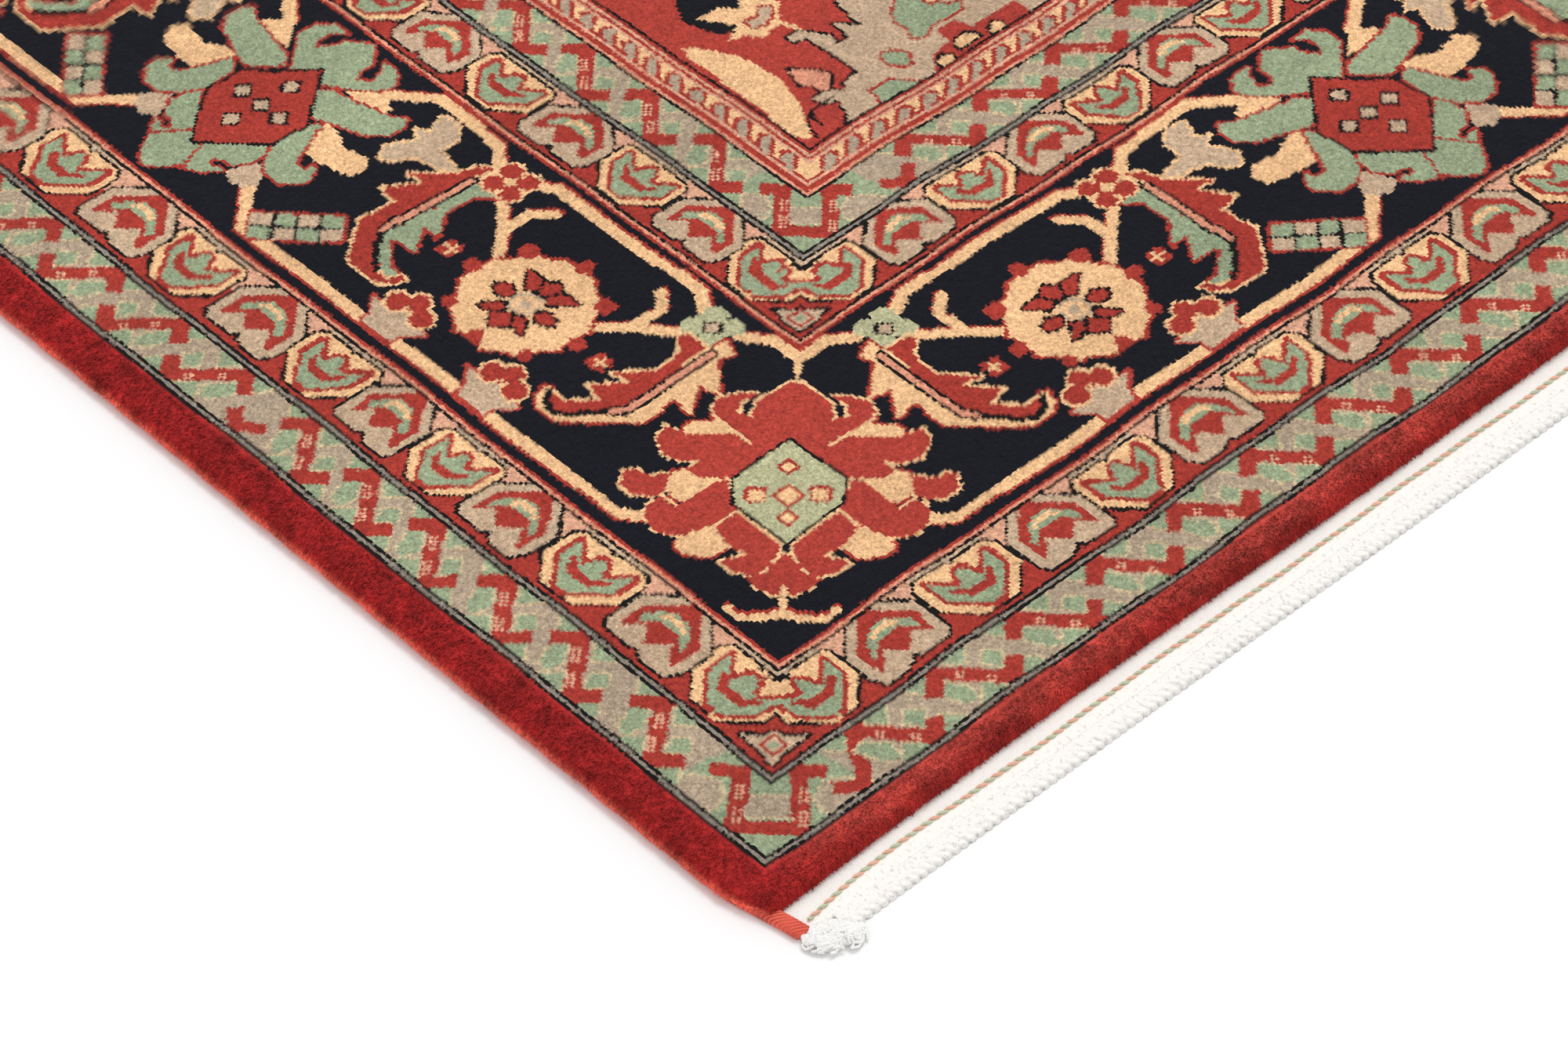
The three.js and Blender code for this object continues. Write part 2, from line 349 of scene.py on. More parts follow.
def winged_leaf(chart):
    wing = [
        (602, 271), (628, 278), (628, 293), (640, 303), (653, 300), (650, 290), (645, 285), (655, 278),
        (645, 273), (652, 262), (655, 252), (648, 243), (640, 248), (632, 262), (612, 265),
    ]
    chart.shape(wing, TAUPE, CREAM)


def ladder_box(chart):
    """A slanting box of small squares."""
    across = (602 - 620, 171 - 189)
    down = (667 - 620, 147 - 189)

    def corner(i, j):
        return (620 + across[0] * i / 2 + down[0] * j / 4, 189 + across[1] * i / 2 + down[1] * j / 4)

    chart.shape([corner(0, 0), corner(2, 0), corner(2, 4), corner(0, 4)], MINT, RED)
    for i in range(2):
        for j in range(4):
            if (i + j) % 2:
                chart.shape([corner(i, j), corner(i + 1, j), corner(i + 1, j + 1), corner(i, j + 1)], TAUPE)
    chart.line([corner(1, 0), corner(1, 4)], BLACK, 2.2)
    for j in range(1, 4):
        chart.line([corner(0, j), corner(2, j)], BLACK, 2.2)


def hexagon_eyes(chart, places, size):
    for centre in places:
        chart.shape(diamond(centre, size), TAUPE, BLACK)


def mint_palmette(chart):
    crown = [
        (735, 262), (716, 275), (703, 287), (701, 298), (709, 307), (725, 308), (717, 300), (716, 288),
        (724, 283), (729, 290), (728, 300), (744, 315), (760, 303), (764, 290), (770, 283), (776, 290),
        (774, 302), (766, 309), (780, 308), (789, 298), (789, 284), (777, 272), (762, 257), (747, 272),
    ]
    left_upper = [
        (731, 256), (722, 264), (700, 268), (676, 274), (667, 281), (662, 275), (661, 262), (672, 250),
        (700, 240), (711, 236), (724, 247),
    ]
    left_lower = [
        (700, 235), (709, 228), (711, 202), (703, 188), (690, 176), (676, 177), (664, 190), (665, 200),
        (672, 206), (674, 198), (683, 198), (690, 212), (697, 228),
    ]
    lowest = [
        (711, 198), (744, 167), (741, 150), (733, 141), (722, 147), (712, 158), (726, 157), (727, 163),
        (712, 167), (704, 178), (706, 190),
    ]
    tip = [
        (745, 168), (751, 163), (758, 172), (768, 158), (777, 146), (765, 128), (757, 124), (748, 130),
        (736, 143), (742, 155),
    ]
    buds = [
        (CREAM, [(698, 240), (690, 240), (672, 232), (650, 237), (643, 228), (646, 217), (660, 211),
                 (676, 210), (690, 207), (697, 222)]),
        (TAUPE, [(700, 182), (690, 175), (684, 165), (690, 157), (700, 154), (711, 160), (706, 172)]),
        (CREAM, [(700, 290), (683, 280), (680, 274), (700, 268), (720, 268), (703, 283)]),
    ]
    home = chart.place or (lambda p: p)
    for side in (1, -1):
        chart.place = lambda p, side=side: home((MINT_PALMETTE + side * (p[0] - MINT_PALMETTE + 1), p[1]))
        for wool, outline in buds:
            chart.shape(outline, wool)
        for petal in (left_lower, left_upper, lowest):
            chart.shape(petal, MINT, RED)
    chart.place = home
    chart.shape(crown, MINT, RED)
    chart.shape(tip, MINT, RED)
    heart = [
        (747, 271), (768, 245), (784, 232), (786, 203), (770, 183), (751, 163), (727, 185), (711, 200),
        (709, 229), (725, 247),
    ]
    chart.shape(heart, RED, BLACK)
    hexagon_eyes(chart, ((747, 246), (727, 219), (747, 219), (768, 219), (751, 196)), 6.5)


def red_palmette(chart, anchored=True):
    """The corner palmette. Its other half is its mirror image in the rug's diagonal."""
    petals = [
        [(182, 187), (153, 190), (152, 175), (155, 163), (165, 157), (183, 157)],
        [(192, 187), (234, 187), (233, 168), (215, 163), (200, 166), (208, 152), (208, 150), (195, 149),
         (185, 157), (184, 165), (186, 178)],
        [(240, 190), (258, 203), (262, 196), (261, 165), (268, 163), (275, 163), (276, 152), (268, 142),
         (254, 140), (241, 147), (236, 162), (234, 187)],
        [(286, 182), (296, 170), (307, 167), (308, 160), (302, 152), (290, 151), (281, 158), (277, 168),
         (282, 174)],
        [(256, 240), (278, 242), (306, 213), (322, 207), (318, 196), (303, 189), (289, 194), (284, 203),
         (282, 192), (272, 190), (262, 203), (255, 206)],
        [(258, 238), (300, 236), (312, 239), (316, 249), (311, 260), (302, 269), (303, 256), (297, 248),
         (288, 252), (297, 264), (297, 293), (255, 255)],
    ]
    buds = [
        [(280, 242), (311, 240), (303, 232), (312, 222), (308, 213)],
        [(262, 200), (272, 190), (282, 192), (287, 182), (283, 172), (262, 170)],
        [(216, 165), (233, 168), (236, 155), (241, 147), (234, 137), (222, 142), (213, 150), (215, 160)],
    ]
    for bud in buds:
        for outline in (bud, swapped(bud)):
            chart.shape(outline, CREAM, RED, soft=True)
    for petal in petals:
        for outline in (petal, swapped(petal)):
            chart.shape(outline, ROSE, CREAM, wide=1.7)
    for seam in ([(166, 166), (180, 180)], [(260, 260), (291, 291)]):
        chart.line(seam, ROSE, 10)
    heart = [(183, 190), (238, 190), (255, 206), (255, 260), (200, 260), (183, 242)]
    chart.shape(heart, LIME, BLACK)
    for centre, half in (((218, 222), 8), ((235, 241), 6), ((203, 208), 6)):
        chart.shape(square(centre, half), CREAM, RED)
    for centre in ((201, 241), (235, 206)):
        chart.shape(diamond(centre, 7), CREAM, RED)
    if anchored:
        arm = [(150, 149), (139, 152), (130, 160), (126, 166), (127, 174)]
        shank = [(163, 163), (148, 148)]
        for line in (arm, swapped(arm)):
            chart.line([(s + 2.5, d + 2.5) for s, d in line], RED, 5.5)
        for line in (shank, arm, swapped(arm)):
            chart.line(line, CREAM, 6)


# ---- The guard bands, drawn round 0 with their depth as in the outer guard ----
SMILE = [
    (-17, 90), (-13, 88), (-7, 83), (7, 83), (13, 89), (17, 91), (17, 86), (8, 75.5), (-8, 75.5), (-17, 86),
]


def cartouche_heart(chart):
    chart.shape([(-27, 108), (27, 108), (28, 114), (-28, 114)], TAUPE)
    chart.shape(
        [(-28, 108), (-4, 108), (0, 105.5), (4, 108), (28, 108), (33, 102), (32.5, 79), (12, 59), (-12, 59),
         (-32.5, 79), (-33, 102)],
        CREAM, BLACK,
    )
    chart.shape(
        [(-24, 102), (-24, 85), (-5, 64), (5, 64), (24, 85), (24, 102), (12.5, 91), (9, 88), (6.5, 91),
         (3.5, 99), (0, 101), (-3.5, 99), (-6.5, 91), (-9, 88), (-12.5, 91)],
        MINT, RED, wide=3.4,
    )
    chart.shape(SMILE, RED)


def cartouche_arch(chart):
    chart.shape(
        [(-11, 115), (11, 115), (32, 96), (32, 67), (27, 61.5), (5, 61), (0, 66), (-5, 61), (-28, 60.5),
         (-33, 69), (-33, 94)],
        TAUPE, BLACK,
    )
    chart.shape(
        [(-25.5, 70), (-26, 91), (-5, 112.5), (5, 112.5), (25.5, 92), (25, 71), (22, 72), (13, 82), (10, 80),
         (1, 69), (-9, 80), (-12, 82), (-22, 70)],
        RED,
    )
    crescent = [
        (-20, 79), (-21, 86), (-11, 97), (-4, 101), (7, 101), (15, 94), (20.5, 86), (19, 79), (13, 86),
        (8, 90), (-9, 90), (-15, 84),
    ]
    chart.shape(crescent, MINT)
    chart.line([(-9, 94), (-3, 97), (6, 97), (10, 93)], CREAM, 4.5)


def cartouche_places(seen, middle, count):
    """The middles of a guard's cartouches: those by the corner, then evenly to past the side's middle."""
    even = np.linspace(seen[-1], middle, count + 1)
    return np.concatenate([seen[:-1], even, [2 * even[-1] - even[-2]]])


def guard(chart, span, places):
    """One guard band: hearts and arches by turns on a red and salmon ground."""
    outer, inner = span
    middle = outer + 0.6 * (inner - outer)
    chart.fill_depth((outer, middle), RED)
    chart.fill_depth((middle, inner), PEACH)
    squash = (inner - outer) / (OUTER_GUARD[1] - OUTER_GUARD[0])
    for i, (centre, wide) in enumerate(zip(places, np.gradient(places))):
        chart.place = lambda p, centre=centre, wide=wide: (
            centre + p[0] * wide / 68.5,
            outer + (p[1] - OUTER_GUARD[0]) * squash,
        )
        (cartouche_arch if i % 2 else cartouche_heart)(chart)
    chart.place = None


def guard_corner(chart, span):
    """Two hearts that run together where a guard turns the rug's corner, with a kite outside them."""
    outer, inner = span
    squash = (inner - outer) / (OUTER_GUARD[1] - OUTER_GUARD[0])
    chart.place = lambda p: tuple(outer + (c - OUTER_GUARD[0]) * squash for c in p)
    low, tip, c = 55.2, 58.5, 117
    chart.shape([(low, low), (low, tip), (tip, c - 4), (107, 107), (c - 4, tip), (c - 4, low)], RED)
    chart.shape([(low, c), (low, c - 10), (79, 89), (89, 79), (c - 10, low), (c, low)], RED)
    lower = [(c - 8, tip), (89, 78), (88, 88), (78, 89), (tip, c - 8)]
    upper = [(107, c), (105.5, c - 3), (108, 108), (c - 3, 105.5), (c, 107)]
    chart.shape([(c, tip)] + lower + [(tip, c)] + upper, CREAM)
    for path in (lower, upper):
        chart.line(path, BLACK, 2.5)
    ring_low = [(c, 62), (c - 4, 62), (96, 77), (93.5, 93.5), (77, 96), (62, c - 4), (62, c)]
    ring_high = [
        (103, c), (100, c - 4), (91, c - 7), (90, c - 10), (108, 90), (c - 7, 91), (c - 4, 100), (c, 103),
    ]
    chart.shape(ring_low + ring_high, MINT)
    for path in (ring_low[1:-1], ring_high):
        chart.line(path, RED, 3.4)
    for smile in ([(c + 1 + s, d) for s, d in SMILE], [(d, c + 1 + s) for s, d in SMILE]):
        chart.shape(smile, RED)
    kite = [(5.5, 5.5), (37, 7), (25, 18), (24, 24), (18, 25), (7, 37)]
    chart.shape([(low + s, low + d) for s, d in kite], TAUPE, BLACK)
    for half, wool in ((7, RED), (4.5, TAUPE), (2.5, MINT)):
        chart.shape(square((low + 15.5, low + 15.5), half), wool)
    chart.place = None


def border(length, outer_places, inner_places):
    """The guards and the main border along one side, from its corner to its middle."""
    chart = Chart(length, FIELD_FROM, NAVY)
    chart.bands(0, (BLACK, GREY, BLACK))
    chart.bands(48.3, (BLACK, GREY, BLACK))
    guard(chart, OUTER_GUARD, outer_places)
    chart.bands(112.7, (BLACK, SALMON, RED))
    chart.fill_depth(MAIN_BORDER, NAVY)
    for place in (repeat(0), repeat(2 * MINT_PALMETTE, -1), repeat(2 * (RED_PALMETTE - MINT_PALMETTE))):
        chart.place = place
        stems(chart)
        rosette(chart)
        mint_flower(chart)
        cream_leaf(chart)
        little_cross(chart, (395, 217))
        little_cross(chart, (545, 217))
        trefoil_bud(chart, 425)
        trefoil_bud(chart, 520)
        mint_leaf(chart)
        red_quatrefoil(chart)
        winged_leaf(chart)
        ladder_box(chart)
    for centre in (MINT_PALMETTE, NEXT_MINT_PALMETTE):
        chart.place = repeat(centre - MINT_PALMETTE)
        mint_palmette(chart)
    chart.place = moved((222, 223), (RED_PALMETTE, 222), math.pi / 4, 0.82)
    red_palmette(chart, anchored=False)
    chart.place = None
    red_palmette(chart)
    chart.bands(317.4, (RED, SALMON, BLACK))
    guard(chart, INNER_GUARD, inner_places)
    chart.bands(INNER_GUARD[1], (BLACK, GREY, BLACK))
    chart.bands(INNER_LATCH[1], (BLACK, SALMON, RED, SALMON, RED))
    comb(chart, length)
    return chart


def comb(chart, length):
    """The narrow band round the field: slanting bars, cream and taupe by turns, with a red line between."""
    outer, inner = COMB_BAND
    chart.fill_depth(COMB_BAND, CREAM)
    for middle in np.arange(outer + 18, length + 30, 22.5):
        chart.line([(middle - 16, outer + 1.2), (middle - 1, outer + 1.2)], RED, 2.8)
        bar = strip([(middle + 1, outer - 2), (middle + 13.5, inner - 2.5)], 7)
        chart.shape(bar, STONE, RED, wide=3.1)
    chart.bands(outer - 2 * KNOT, (RED, PEACH))
    chart.bands(inner, (PEACH, RED, PEACH, RED, BLACK))


# ---- The latch bands ----
def dashes(chart, centre, rows):
    """A group of light stitches on a red bar: rows of two knots, corner to corner, on whole knots."""
    home = [(math.floor(c / KNOT) + 0.5) * KNOT for c in centre]
    for row in range(rows):
        for column in (0, 1):
            down = row - rows // 2
            spot = (home[0] + (down + column) * KNOT, home[1] + (down - column) * KNOT)
            chart.shape(diamond(spot, 1.4), PEACH)


def latch_bar(chart, centre, low, path, squash):
    """A red bar hooked at both ends, with light stitches on its long stretch."""
    path = [(centre + s, low + d * squash) for s, d in path]
    chart.shape(strip(path, 11), RED)
    (x0, y0), (x1, y1) = path[1], path[2]
    crossing = (x1 - x0) * (y1 - y0) > 0
    for share in (0.3, 0.7):
        dashes(chart, (x0 + share * (x1 - x0), y0 + share * (y1 - y0)), 4 if crossing else 2)


def latch_ribbon(chart, centre, low, rising, squash):
    """The mint pieces round a red bar, which leave a taupe ribbon between it and the next."""
    side = -1 if rising else 1
    for points in (
        [(-12, 53), (16, 53), (2, 37)], [(-44, 53), (-18, 53), (-31, 37)],
        [(-27, 32), (-19, 36), (-8, 23), (-11, 12), (-19, 13)], [(10, 30), (18, 38), (26, 29), (17, 20)],
    ):
        chart.shape([(centre + side * s, low + d * squash) for s, d in points], MINT, SAND, wide=1.6)
    for points in ([(12, 3), (-16, 3), (-2, 19)], [(44, 3), (18, 3), (31, 19)]):
        chart.shape([(centre + side * s, low + d * squash) for s, d in points], MINT, SAND, wide=1.6)


FALLING_BAR = [(-30.5, 32), (-17, 46), (16, 9), (29.5, 23)]
RISING_BAR = [(-s, d) for s, d in FALLING_BAR]


def bar_run(chart, low, squash, centres, rising):
    """A run of bars that all lean the same way."""
    for centre in centres:
        latch_ribbon(chart, centre, low, rising, squash)
    for centre in centres:
        latch_bar(chart, centre, low, RISING_BAR if rising else FALLING_BAR, squash)


def latch_points(points, low, squash):
    """Points drawn from the outer latch band's foot, moved to where a band starts and squashed to fit it."""
    return [(low + s * squash, low + d * squash) for s, d in points]


def latches(chart):
    """Both latch bands along both sides, and the hook that turns the corner."""
    i, j = np.indices(chart.wool.shape)
    depth = np.minimum(i, j)
    narrow = (INNER_LATCH[1] - INNER_LATCH[0]) / (OUTER_LATCH[1] - OUTER_LATCH[0])
    for span, squash, past in ((OUTER_LATCH, 1.0, 0), (INNER_LATCH, narrow, 16)):
        low = span[0] - OUTER_LATCH[0] * squash
        band = (depth >= round(span[0] / KNOT)) & (depth < round(span[1] / KNOT))
        chart.wool[band] = STONE
        chart.allowed = band
        reach = low + 52 * squash
        around = [(low, low), (low + 90, low), (reach + 36, reach)]
        around += [(reach, reach), (reach, reach + 36), (low, low + 90)]
        chart.shape(around, MINT)
        wedge = latch_points([(62, 3), (55, 12), (60, 22), (72, 28), (84, 20), (96, 3)], low, squash)
        patch = latch_points(strip([(24, 47), (47, 24)], 17), low, squash)
        for outline in (wedge, swapped(wedge), patch):
            chart.shape(outline, STONE, SAND, wide=1.6)
        hook = [(31, 82), (43, 68), (10, 37), (36, 9), (68, 45), (80, 33)]
        chart.shape(strip(latch_points(hook, low, squash), 11), RED)
        for spot in latch_points(((32, 58), (18, 44), (43, 17), (57, 32)), low, squash):
            dashes(chart, spot, 4)
        chart.allowed = band & (j <= i)
        odd = [(72, 21), (86, 9), (101, 24)]
        if low < 1:
            chart.shape(strip(odd[:-1] + [(97, 19), (106, 38), (115, 48)], 10), RED)
            bar_run(chart, low, squash, np.arange(198, LINE_HALF_X + 68, 68), False)
            latch_ribbon(chart, 130, low, False, squash)
            latch_bar(chart, 130, low, [(-21, 40), (-15, 46), (15, 9), (26, 21)], squash)
        else:
            chart.shape(strip([(low + past + s, low + d * squash) for s, d in odd], 10), RED)
            bar_run(chart, low, squash, np.arange(524, LINE_HALF_X + 69, 69), False)
        chart.allowed = band & (j > i)
        chart.place = lambda p: (p[1], p[0])
        if low < 1:
            bar_run(chart, low, squash, (126, 200, 268, 337, 400, 464), True)
            chart.shape(strip([(497, 22), (512, 9), (526, 21)], 10), RED)
            bar_run(chart, low, squash, np.arange(563, LINE_HALF_Y + 68, 67.5), False)
        else:
            bar_run(chart, low, squash, np.arange(486, LINE_HALF_Y + 67, 67), True)
        chart.place = None
    chart.allowed = None


# ---- The field ----
def field_corner(chart):
    """The spandrel at the field's corner, with the start of the field's own flowers."""
    taupe = [
        (490, 455), (497, 462), (502, 477), (492, 481), (490, 489), (500, 490), (507, 485), (513, 480),
        (516, 488), (530, 490), (532, 500), (532, 541), (523, 542), (523, 550), (533, 550), (545, 532),
        (541, 522), (552, 522), (555, 541), (567, 527), (572, 556), (600, 600), (690, 640), (760, 560),
        (800, 500), (840, 455),
    ]
    chart.shape(taupe, TAUPE, BLACK)
    crescent = [
        (457, 465), (462, 461), (470, 472), (480, 492), (487, 518), (488, 545), (484, 562), (477, 576),
        (470, 586), (463, 592), (460, 580), (459, 550), (457, 505), (455, 480),
    ]
    chart.shape(crescent, CREAM)
    lozenge = [(499, 524), (513, 509), (516, 500), (506, 490), (499, 492), (499, 500), (493, 508)]
    chart.shape(lozenge, SALMON, BLACK)
    chart.line([(466, 458), (470, 472), (482, 483), (500, 481)], BLACK, KNOT)
    chart.line([(476, 465), (479, 480)], BLACK, KNOT)
    navy = [
        (486, 606), (492, 588), (500, 583), (506, 586), (540, 590), (570, 610), (580, 640), (560, 668),
        (520, 660), (494, 630), (486, 614),
    ]
    chart.shape(navy, NAVY, BLACK)
    flower = [
        (489, 609), (510, 607), (520, 594), (525, 603), (534, 600), (545, 583), (537, 574), (530, 566),
        (537, 556), (536, 548), (530, 556), (529, 563), (510, 562), (503, 572), (491, 576), (506, 583),
        (500, 596),
    ]
    chart.shape(flower, CREAM)
    bean = [(512, 582), (514, 573), (521, 571), (529, 573), (536, 582), (531, 587), (523, 579), (517, 582)]
    chart.shape(bean, TAUPE, RED)
    mint = [
        [(588, 518), (604, 530), (620, 512), (623, 500), (632, 496), (627, 489), (611, 491), (599, 492),
         (590, 487), (582, 492), (586, 500)],
        [(552, 490), (557, 495), (562, 491), (569, 483), (563, 474), (559, 474), (552, 481)],
        [(523, 456), (524, 470), (540, 470), (547, 463), (554, 456)],
    ]
    for outline in mint:
        chart.shape(outline, MINT, RED)
    crenel = [
        (570, 455), (580, 470), (597, 471), (597, 485), (616, 485), (619, 471), (640, 472), (660, 471),
        (660, 455),
    ]
    chart.shape(crenel, ROSE)
    for centre, size in (((583, 458), 6), ((607, 460), 10), ((632, 458), 6)):
        top = [p for p in ring(centre, size) if p[1] >= centre[1] - 3]
        chart.shape(top, CREAM, BLACK)


def scatter(chart, motif, home, places):
    """Copies of a motif drawn round home. places gives the centre, turn and size of each."""
    for centre, turn, size in places:
        chart.place = moved(home, centre, turn, size)
        motif(chart)
    chart.place = None


def loose_palmette(chart):
    red_palmette(chart, anchored=False)


def spandrel_flowers(chart):
    """Two palmettes and their stem on the spandrel, further in than its corner."""
    stem = [(620, 512), (650, 545), (690, 560), (720, 540), (735, 500), (760, 480)]
    chart.line(stem, CREAM, 7, RED, soft=True)
    scatter(chart, loose_palmette, (222, 223), (((700, 500), 0.3, 0.5), ((660, 590), 1.2, 0.42)))


def field_ground(chart):
    """Large flowering vines between the spandrels and the medallion."""
    vines = [
        [(470, 700), (520, 760), (500, 860), (560, 930), (640, 960), (620, 1060), (520, 1120), (500, 1230)],
        [(560, 930), (500, 980), (480, 1040)],
        [(640, 960), (720, 900), (760, 800), (860, 740), (960, 700), (1010, 610), (960, 530), (900, 500)],
        [(500, 1230), (560, 1330), (520, 1450), (560, 1560), (500, 1650), (540, 1812)],
        [(960, 700), (1060, 740), (1160, 690), (1230, 600), (1282, 560)],
    ]
    for wool, wide in ((BLACK, 8.5), (MINT, 5)):
        for vine in vines:
            chart.line(vine, wool, wide, soft=True)
    scatter(chart, mint_palmette, (MINT_PALMETTE, 218), (
        ((560, 930), 0.6, 0.75), ((960, 690), 2.2, 0.7), ((555, 1340), 1.0, 0.8), ((545, 1640), 2.0, 0.6),
        ((1190, 660), 1.2, 0.55),
    ))
    scatter(chart, rosette, (470, 217), (
        ((510, 770), 0.3, 0.75), ((740, 860), 0.3, 0.8), ((500, 1120), 0.3, 0.75), ((940, 520), 0.3, 0.7),
        ((1060, 740), 0.3, 0.6), ((530, 1480), 0.3, 0.7), ((620, 1060), 0.3, 0.5), ((1240, 540), 0.3, 0.5),
        ((650, 1240), 0.3, 0.55),
    ))
    scatter(chart, mint_leaf, (588, 230), (
        ((480, 860), 0.4, 0.8), ((850, 620), 2.4, 0.8), ((500, 1230), 1.3, 0.8), ((650, 860), 2.9, 0.8),
        ((490, 1560), 0.2, 0.8), ((880, 730), 1.9, 0.8), ((1120, 560), 0.9, 0.8),
    ))


def lobed(centre, across, along, lobes, depth):
    """A closed outline of round lobes on an ellipse."""
    points = []
    for i in range(lobes * 8):
        t = 2 * math.pi * i / (lobes * 8)
        swell = 1 - depth * abs(math.cos(lobes * t / 2)) ** 3
        points.append((centre[0] + across * swell * math.cos(t), centre[1] + along * swell * math.sin(t)))
    return points


def nested(chart, centre, lobes, depth, layers):
    """Lobed outlines one inside the other. layers gives the half sizes, wool and edge of each."""
    for across, along, wool, edge in layers:
        chart.shape(lobed(centre, across, along, lobes, depth), wool, edge, wide=2 * KNOT)


def medallion(chart):
    """The middle medallion with its pendants."""
    centre = (LINE_HALF_X, LINE_HALF_Y)
    pendant = (LINE_HALF_X, LINE_HALF_Y - 830)

    def from_centre(places):
        return [((centre[0] - dx, centre[1] - dy), turn, size) for (dx, dy), turn, size in places]

    stem = [(pendant[0], pendant[1] - 150), centre]
    chart.line(stem, BLACK, 22)
    chart.line(stem, CREAM, 14, RED)
    nested(chart, pendant, 8, 0.14, ((118, 150, TAUPE, BLACK), (96, 124, NAVY, CREAM), (60, 84, ROSE, CREAM)))
    chart.shape(lobed(pendant, 30, 42, 6, 0.2), MINT, BLACK)
    nested(chart, centre, 16, 0.1, (
        (520, 700, TAUPE, BLACK), (492, 668, SALMON, RED), (478, 652, NAVY, BLACK),
    ))
    vine = [(420, 0), (380, 180), (250, 280), (230, 440), (110, 520), (0, 580)]
    chart.line([(centre[0] - dx, centre[1] - dy) for dx, dy in vine], CREAM, 7, RED, soft=True)
    scatter(chart, loose_palmette, (222, 223), from_centre((
        ((380, 190), 0.5, 0.62), ((232, 430), 2.4, 0.66), ((110, 560), 0.2, 0.4),
    )))
    scatter(chart, rosette, (470, 217), from_centre((
        ((300, 290), 0.2, 0.6), ((400, 30), 0.2, 0.6), ((170, 500), 0.2, 0.5), ((350, 330), 0.2, 0.4),
    )))
    nested(chart, centre, 12, 0.12, (
        (300, 410, CREAM, BLACK), (288, 394, RED, BLACK), (268, 370, TAUPE, RED), (256, 354, ROSE, CREAM),
    ))
    scatter(chart, mint_palmette, (MINT_PALMETTE, 218), from_centre((
        ((120, 200), 0.5, 0.7), ((0, 245), 0, 0.62), ((165, 0), math.pi / 2, 0.6),
    )))
    nested(chart, centre, 8, 0.16, ((95, 130, NAVY, CREAM), (62, 92, CREAM, BLACK), (50, 78, ROSE, BLACK)))
    chart.shape(lobed(centre, 20, 30, 6, 0.2), MINT, BLACK)


def quarter_chart():
    """The chart of one quarter of the rug. The other three are its mirror images."""
    near_outer = cartouche_places(OUTER_NEAR, LINE_HALF_X, 8)
    near_inner = cartouche_places(INNER_NEAR, LINE_HALF_X, 8)
    left_outer = cartouche_places(OUTER_LEFT, LINE_HALF_Y, 14)
    left_inner = cartouche_places(INNER_LEFT, LINE_HALF_Y, 17)
    short = border(LINE_HALF_X, near_outer, near_inner)
    long = border(LINE_HALF_Y, left_outer, left_inner)
    chart = Chart(LINE_HALF_X, LINE_HALF_Y, ROSE)
    deep = round(FIELD_FROM / KNOT)
    across, along = chart.wool.shape
    chart.wool[:, :deep] = short.wool[:across, :deep]
    side = long.wool[:along, :deep].T
    i, j = np.meshgrid(np.arange(deep), np.arange(along), indexing="ij")
    chart.wool[:deep][j > i] = side[j > i]
    for span in (OUTER_GUARD, INNER_GUARD):
        guard_corner(chart, span)
    latches(chart)
    field = np.zeros(chart.wool.shape, bool)
    field[deep:, deep:] = True
    chart.allowed = field
    field_ground(chart)
    field_corner(chart)
    spandrel_flowers(chart)
    medallion(chart)
    chart.allowed = None
    return chart.wool


# ---- Making meshes ----
def make_object(name, points, faces, material, colours=None):
    """A mesh object from points in millimetres and four-sided faces, with a colour per face corner."""
    points, faces = np.asarray(points, float).reshape(-1, 3), np.asarray(faces, np.int32)
    mesh = bpy.data.meshes.new(name)
    mesh.vertices.add(len(points))
    mesh.vertices.foreach_set("co", (points * MM).ravel())
    mesh.loops.add(faces.size)
    mesh.loops.foreach_set("vertex_index", faces.ravel())
    mesh.polygons.add(len(faces))
    mesh.polygons.foreach_set("loop_start", np.arange(0, faces.size, 4, dtype=np.int32))
    mesh.polygons.foreach_set("use_smooth", np.ones(len(faces), bool))
    mesh.update(calc_edges=True)
    if colours is not None:
        layer = mesh.color_attributes.new("wool", "FLOAT_COLOR", "CORNER")
        rgba = np.ones((faces.size, 4), np.float32)
        rgba[:, :3] = colours
        layer.data.foreach_set("color", rgba.ravel())
    mesh.materials.append(material)
    piece = bpy.data.objects.new("fine_" + name, mesh)
    bpy.context.collection.objects.link(piece)
    return piece


def install(piece, slot, *nodes):
    """Says what a piece rides on and which CAD nodes it stands for; its slot is not used."""
    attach(piece, "root")
    if nodes:
        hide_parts(*nodes)
    return piece


def grid_faces(rows, columns, around=False):
    """Quads between rows of points. around closes each row on itself."""
    i = np.arange(rows - 1)[:, None] * columns
    j = np.arange(columns if around else columns - 1)[None, :]
    k = (j + 1) % columns
    return np.stack([i + j, i + columns + j, i + columns + k, i + k], axis=-1).reshape(-1, 4)


def tube(rings):
    """Points and outward faces of a closed skin through rings of points, its ends drawn to a point."""
    rings = np.asarray(rings, float)
    ends = [np.repeat(rings[k].mean(0)[None, None], rings.shape[1], 1) for k in (0, -1)]
    rings = np.concatenate([ends[0], rings, ends[1]])
    faces = grid_faces(len(rings), rings.shape[1], around=True)
    points = rings.reshape(-1, 3)
    a, b, c, d = (points[faces[:, k]] for k in range(4))
    volume = np.einsum("ij,ij->i", a, np.cross(b, c)).sum() + np.einsum("ij,ij->i", a, np.cross(c, d)).sum()
    return points, faces if volume > 0 else faces[:, ::-1]


def joined(parts):
    """One mesh's points and faces from several."""
    points, faces, count = [], [], 0
    for part_points, part_faces in parts:
        points.append(part_points)
        faces.append(part_faces + count)
        count += len(part_points)
    return np.concatenate(points), np.concatenate(faces)


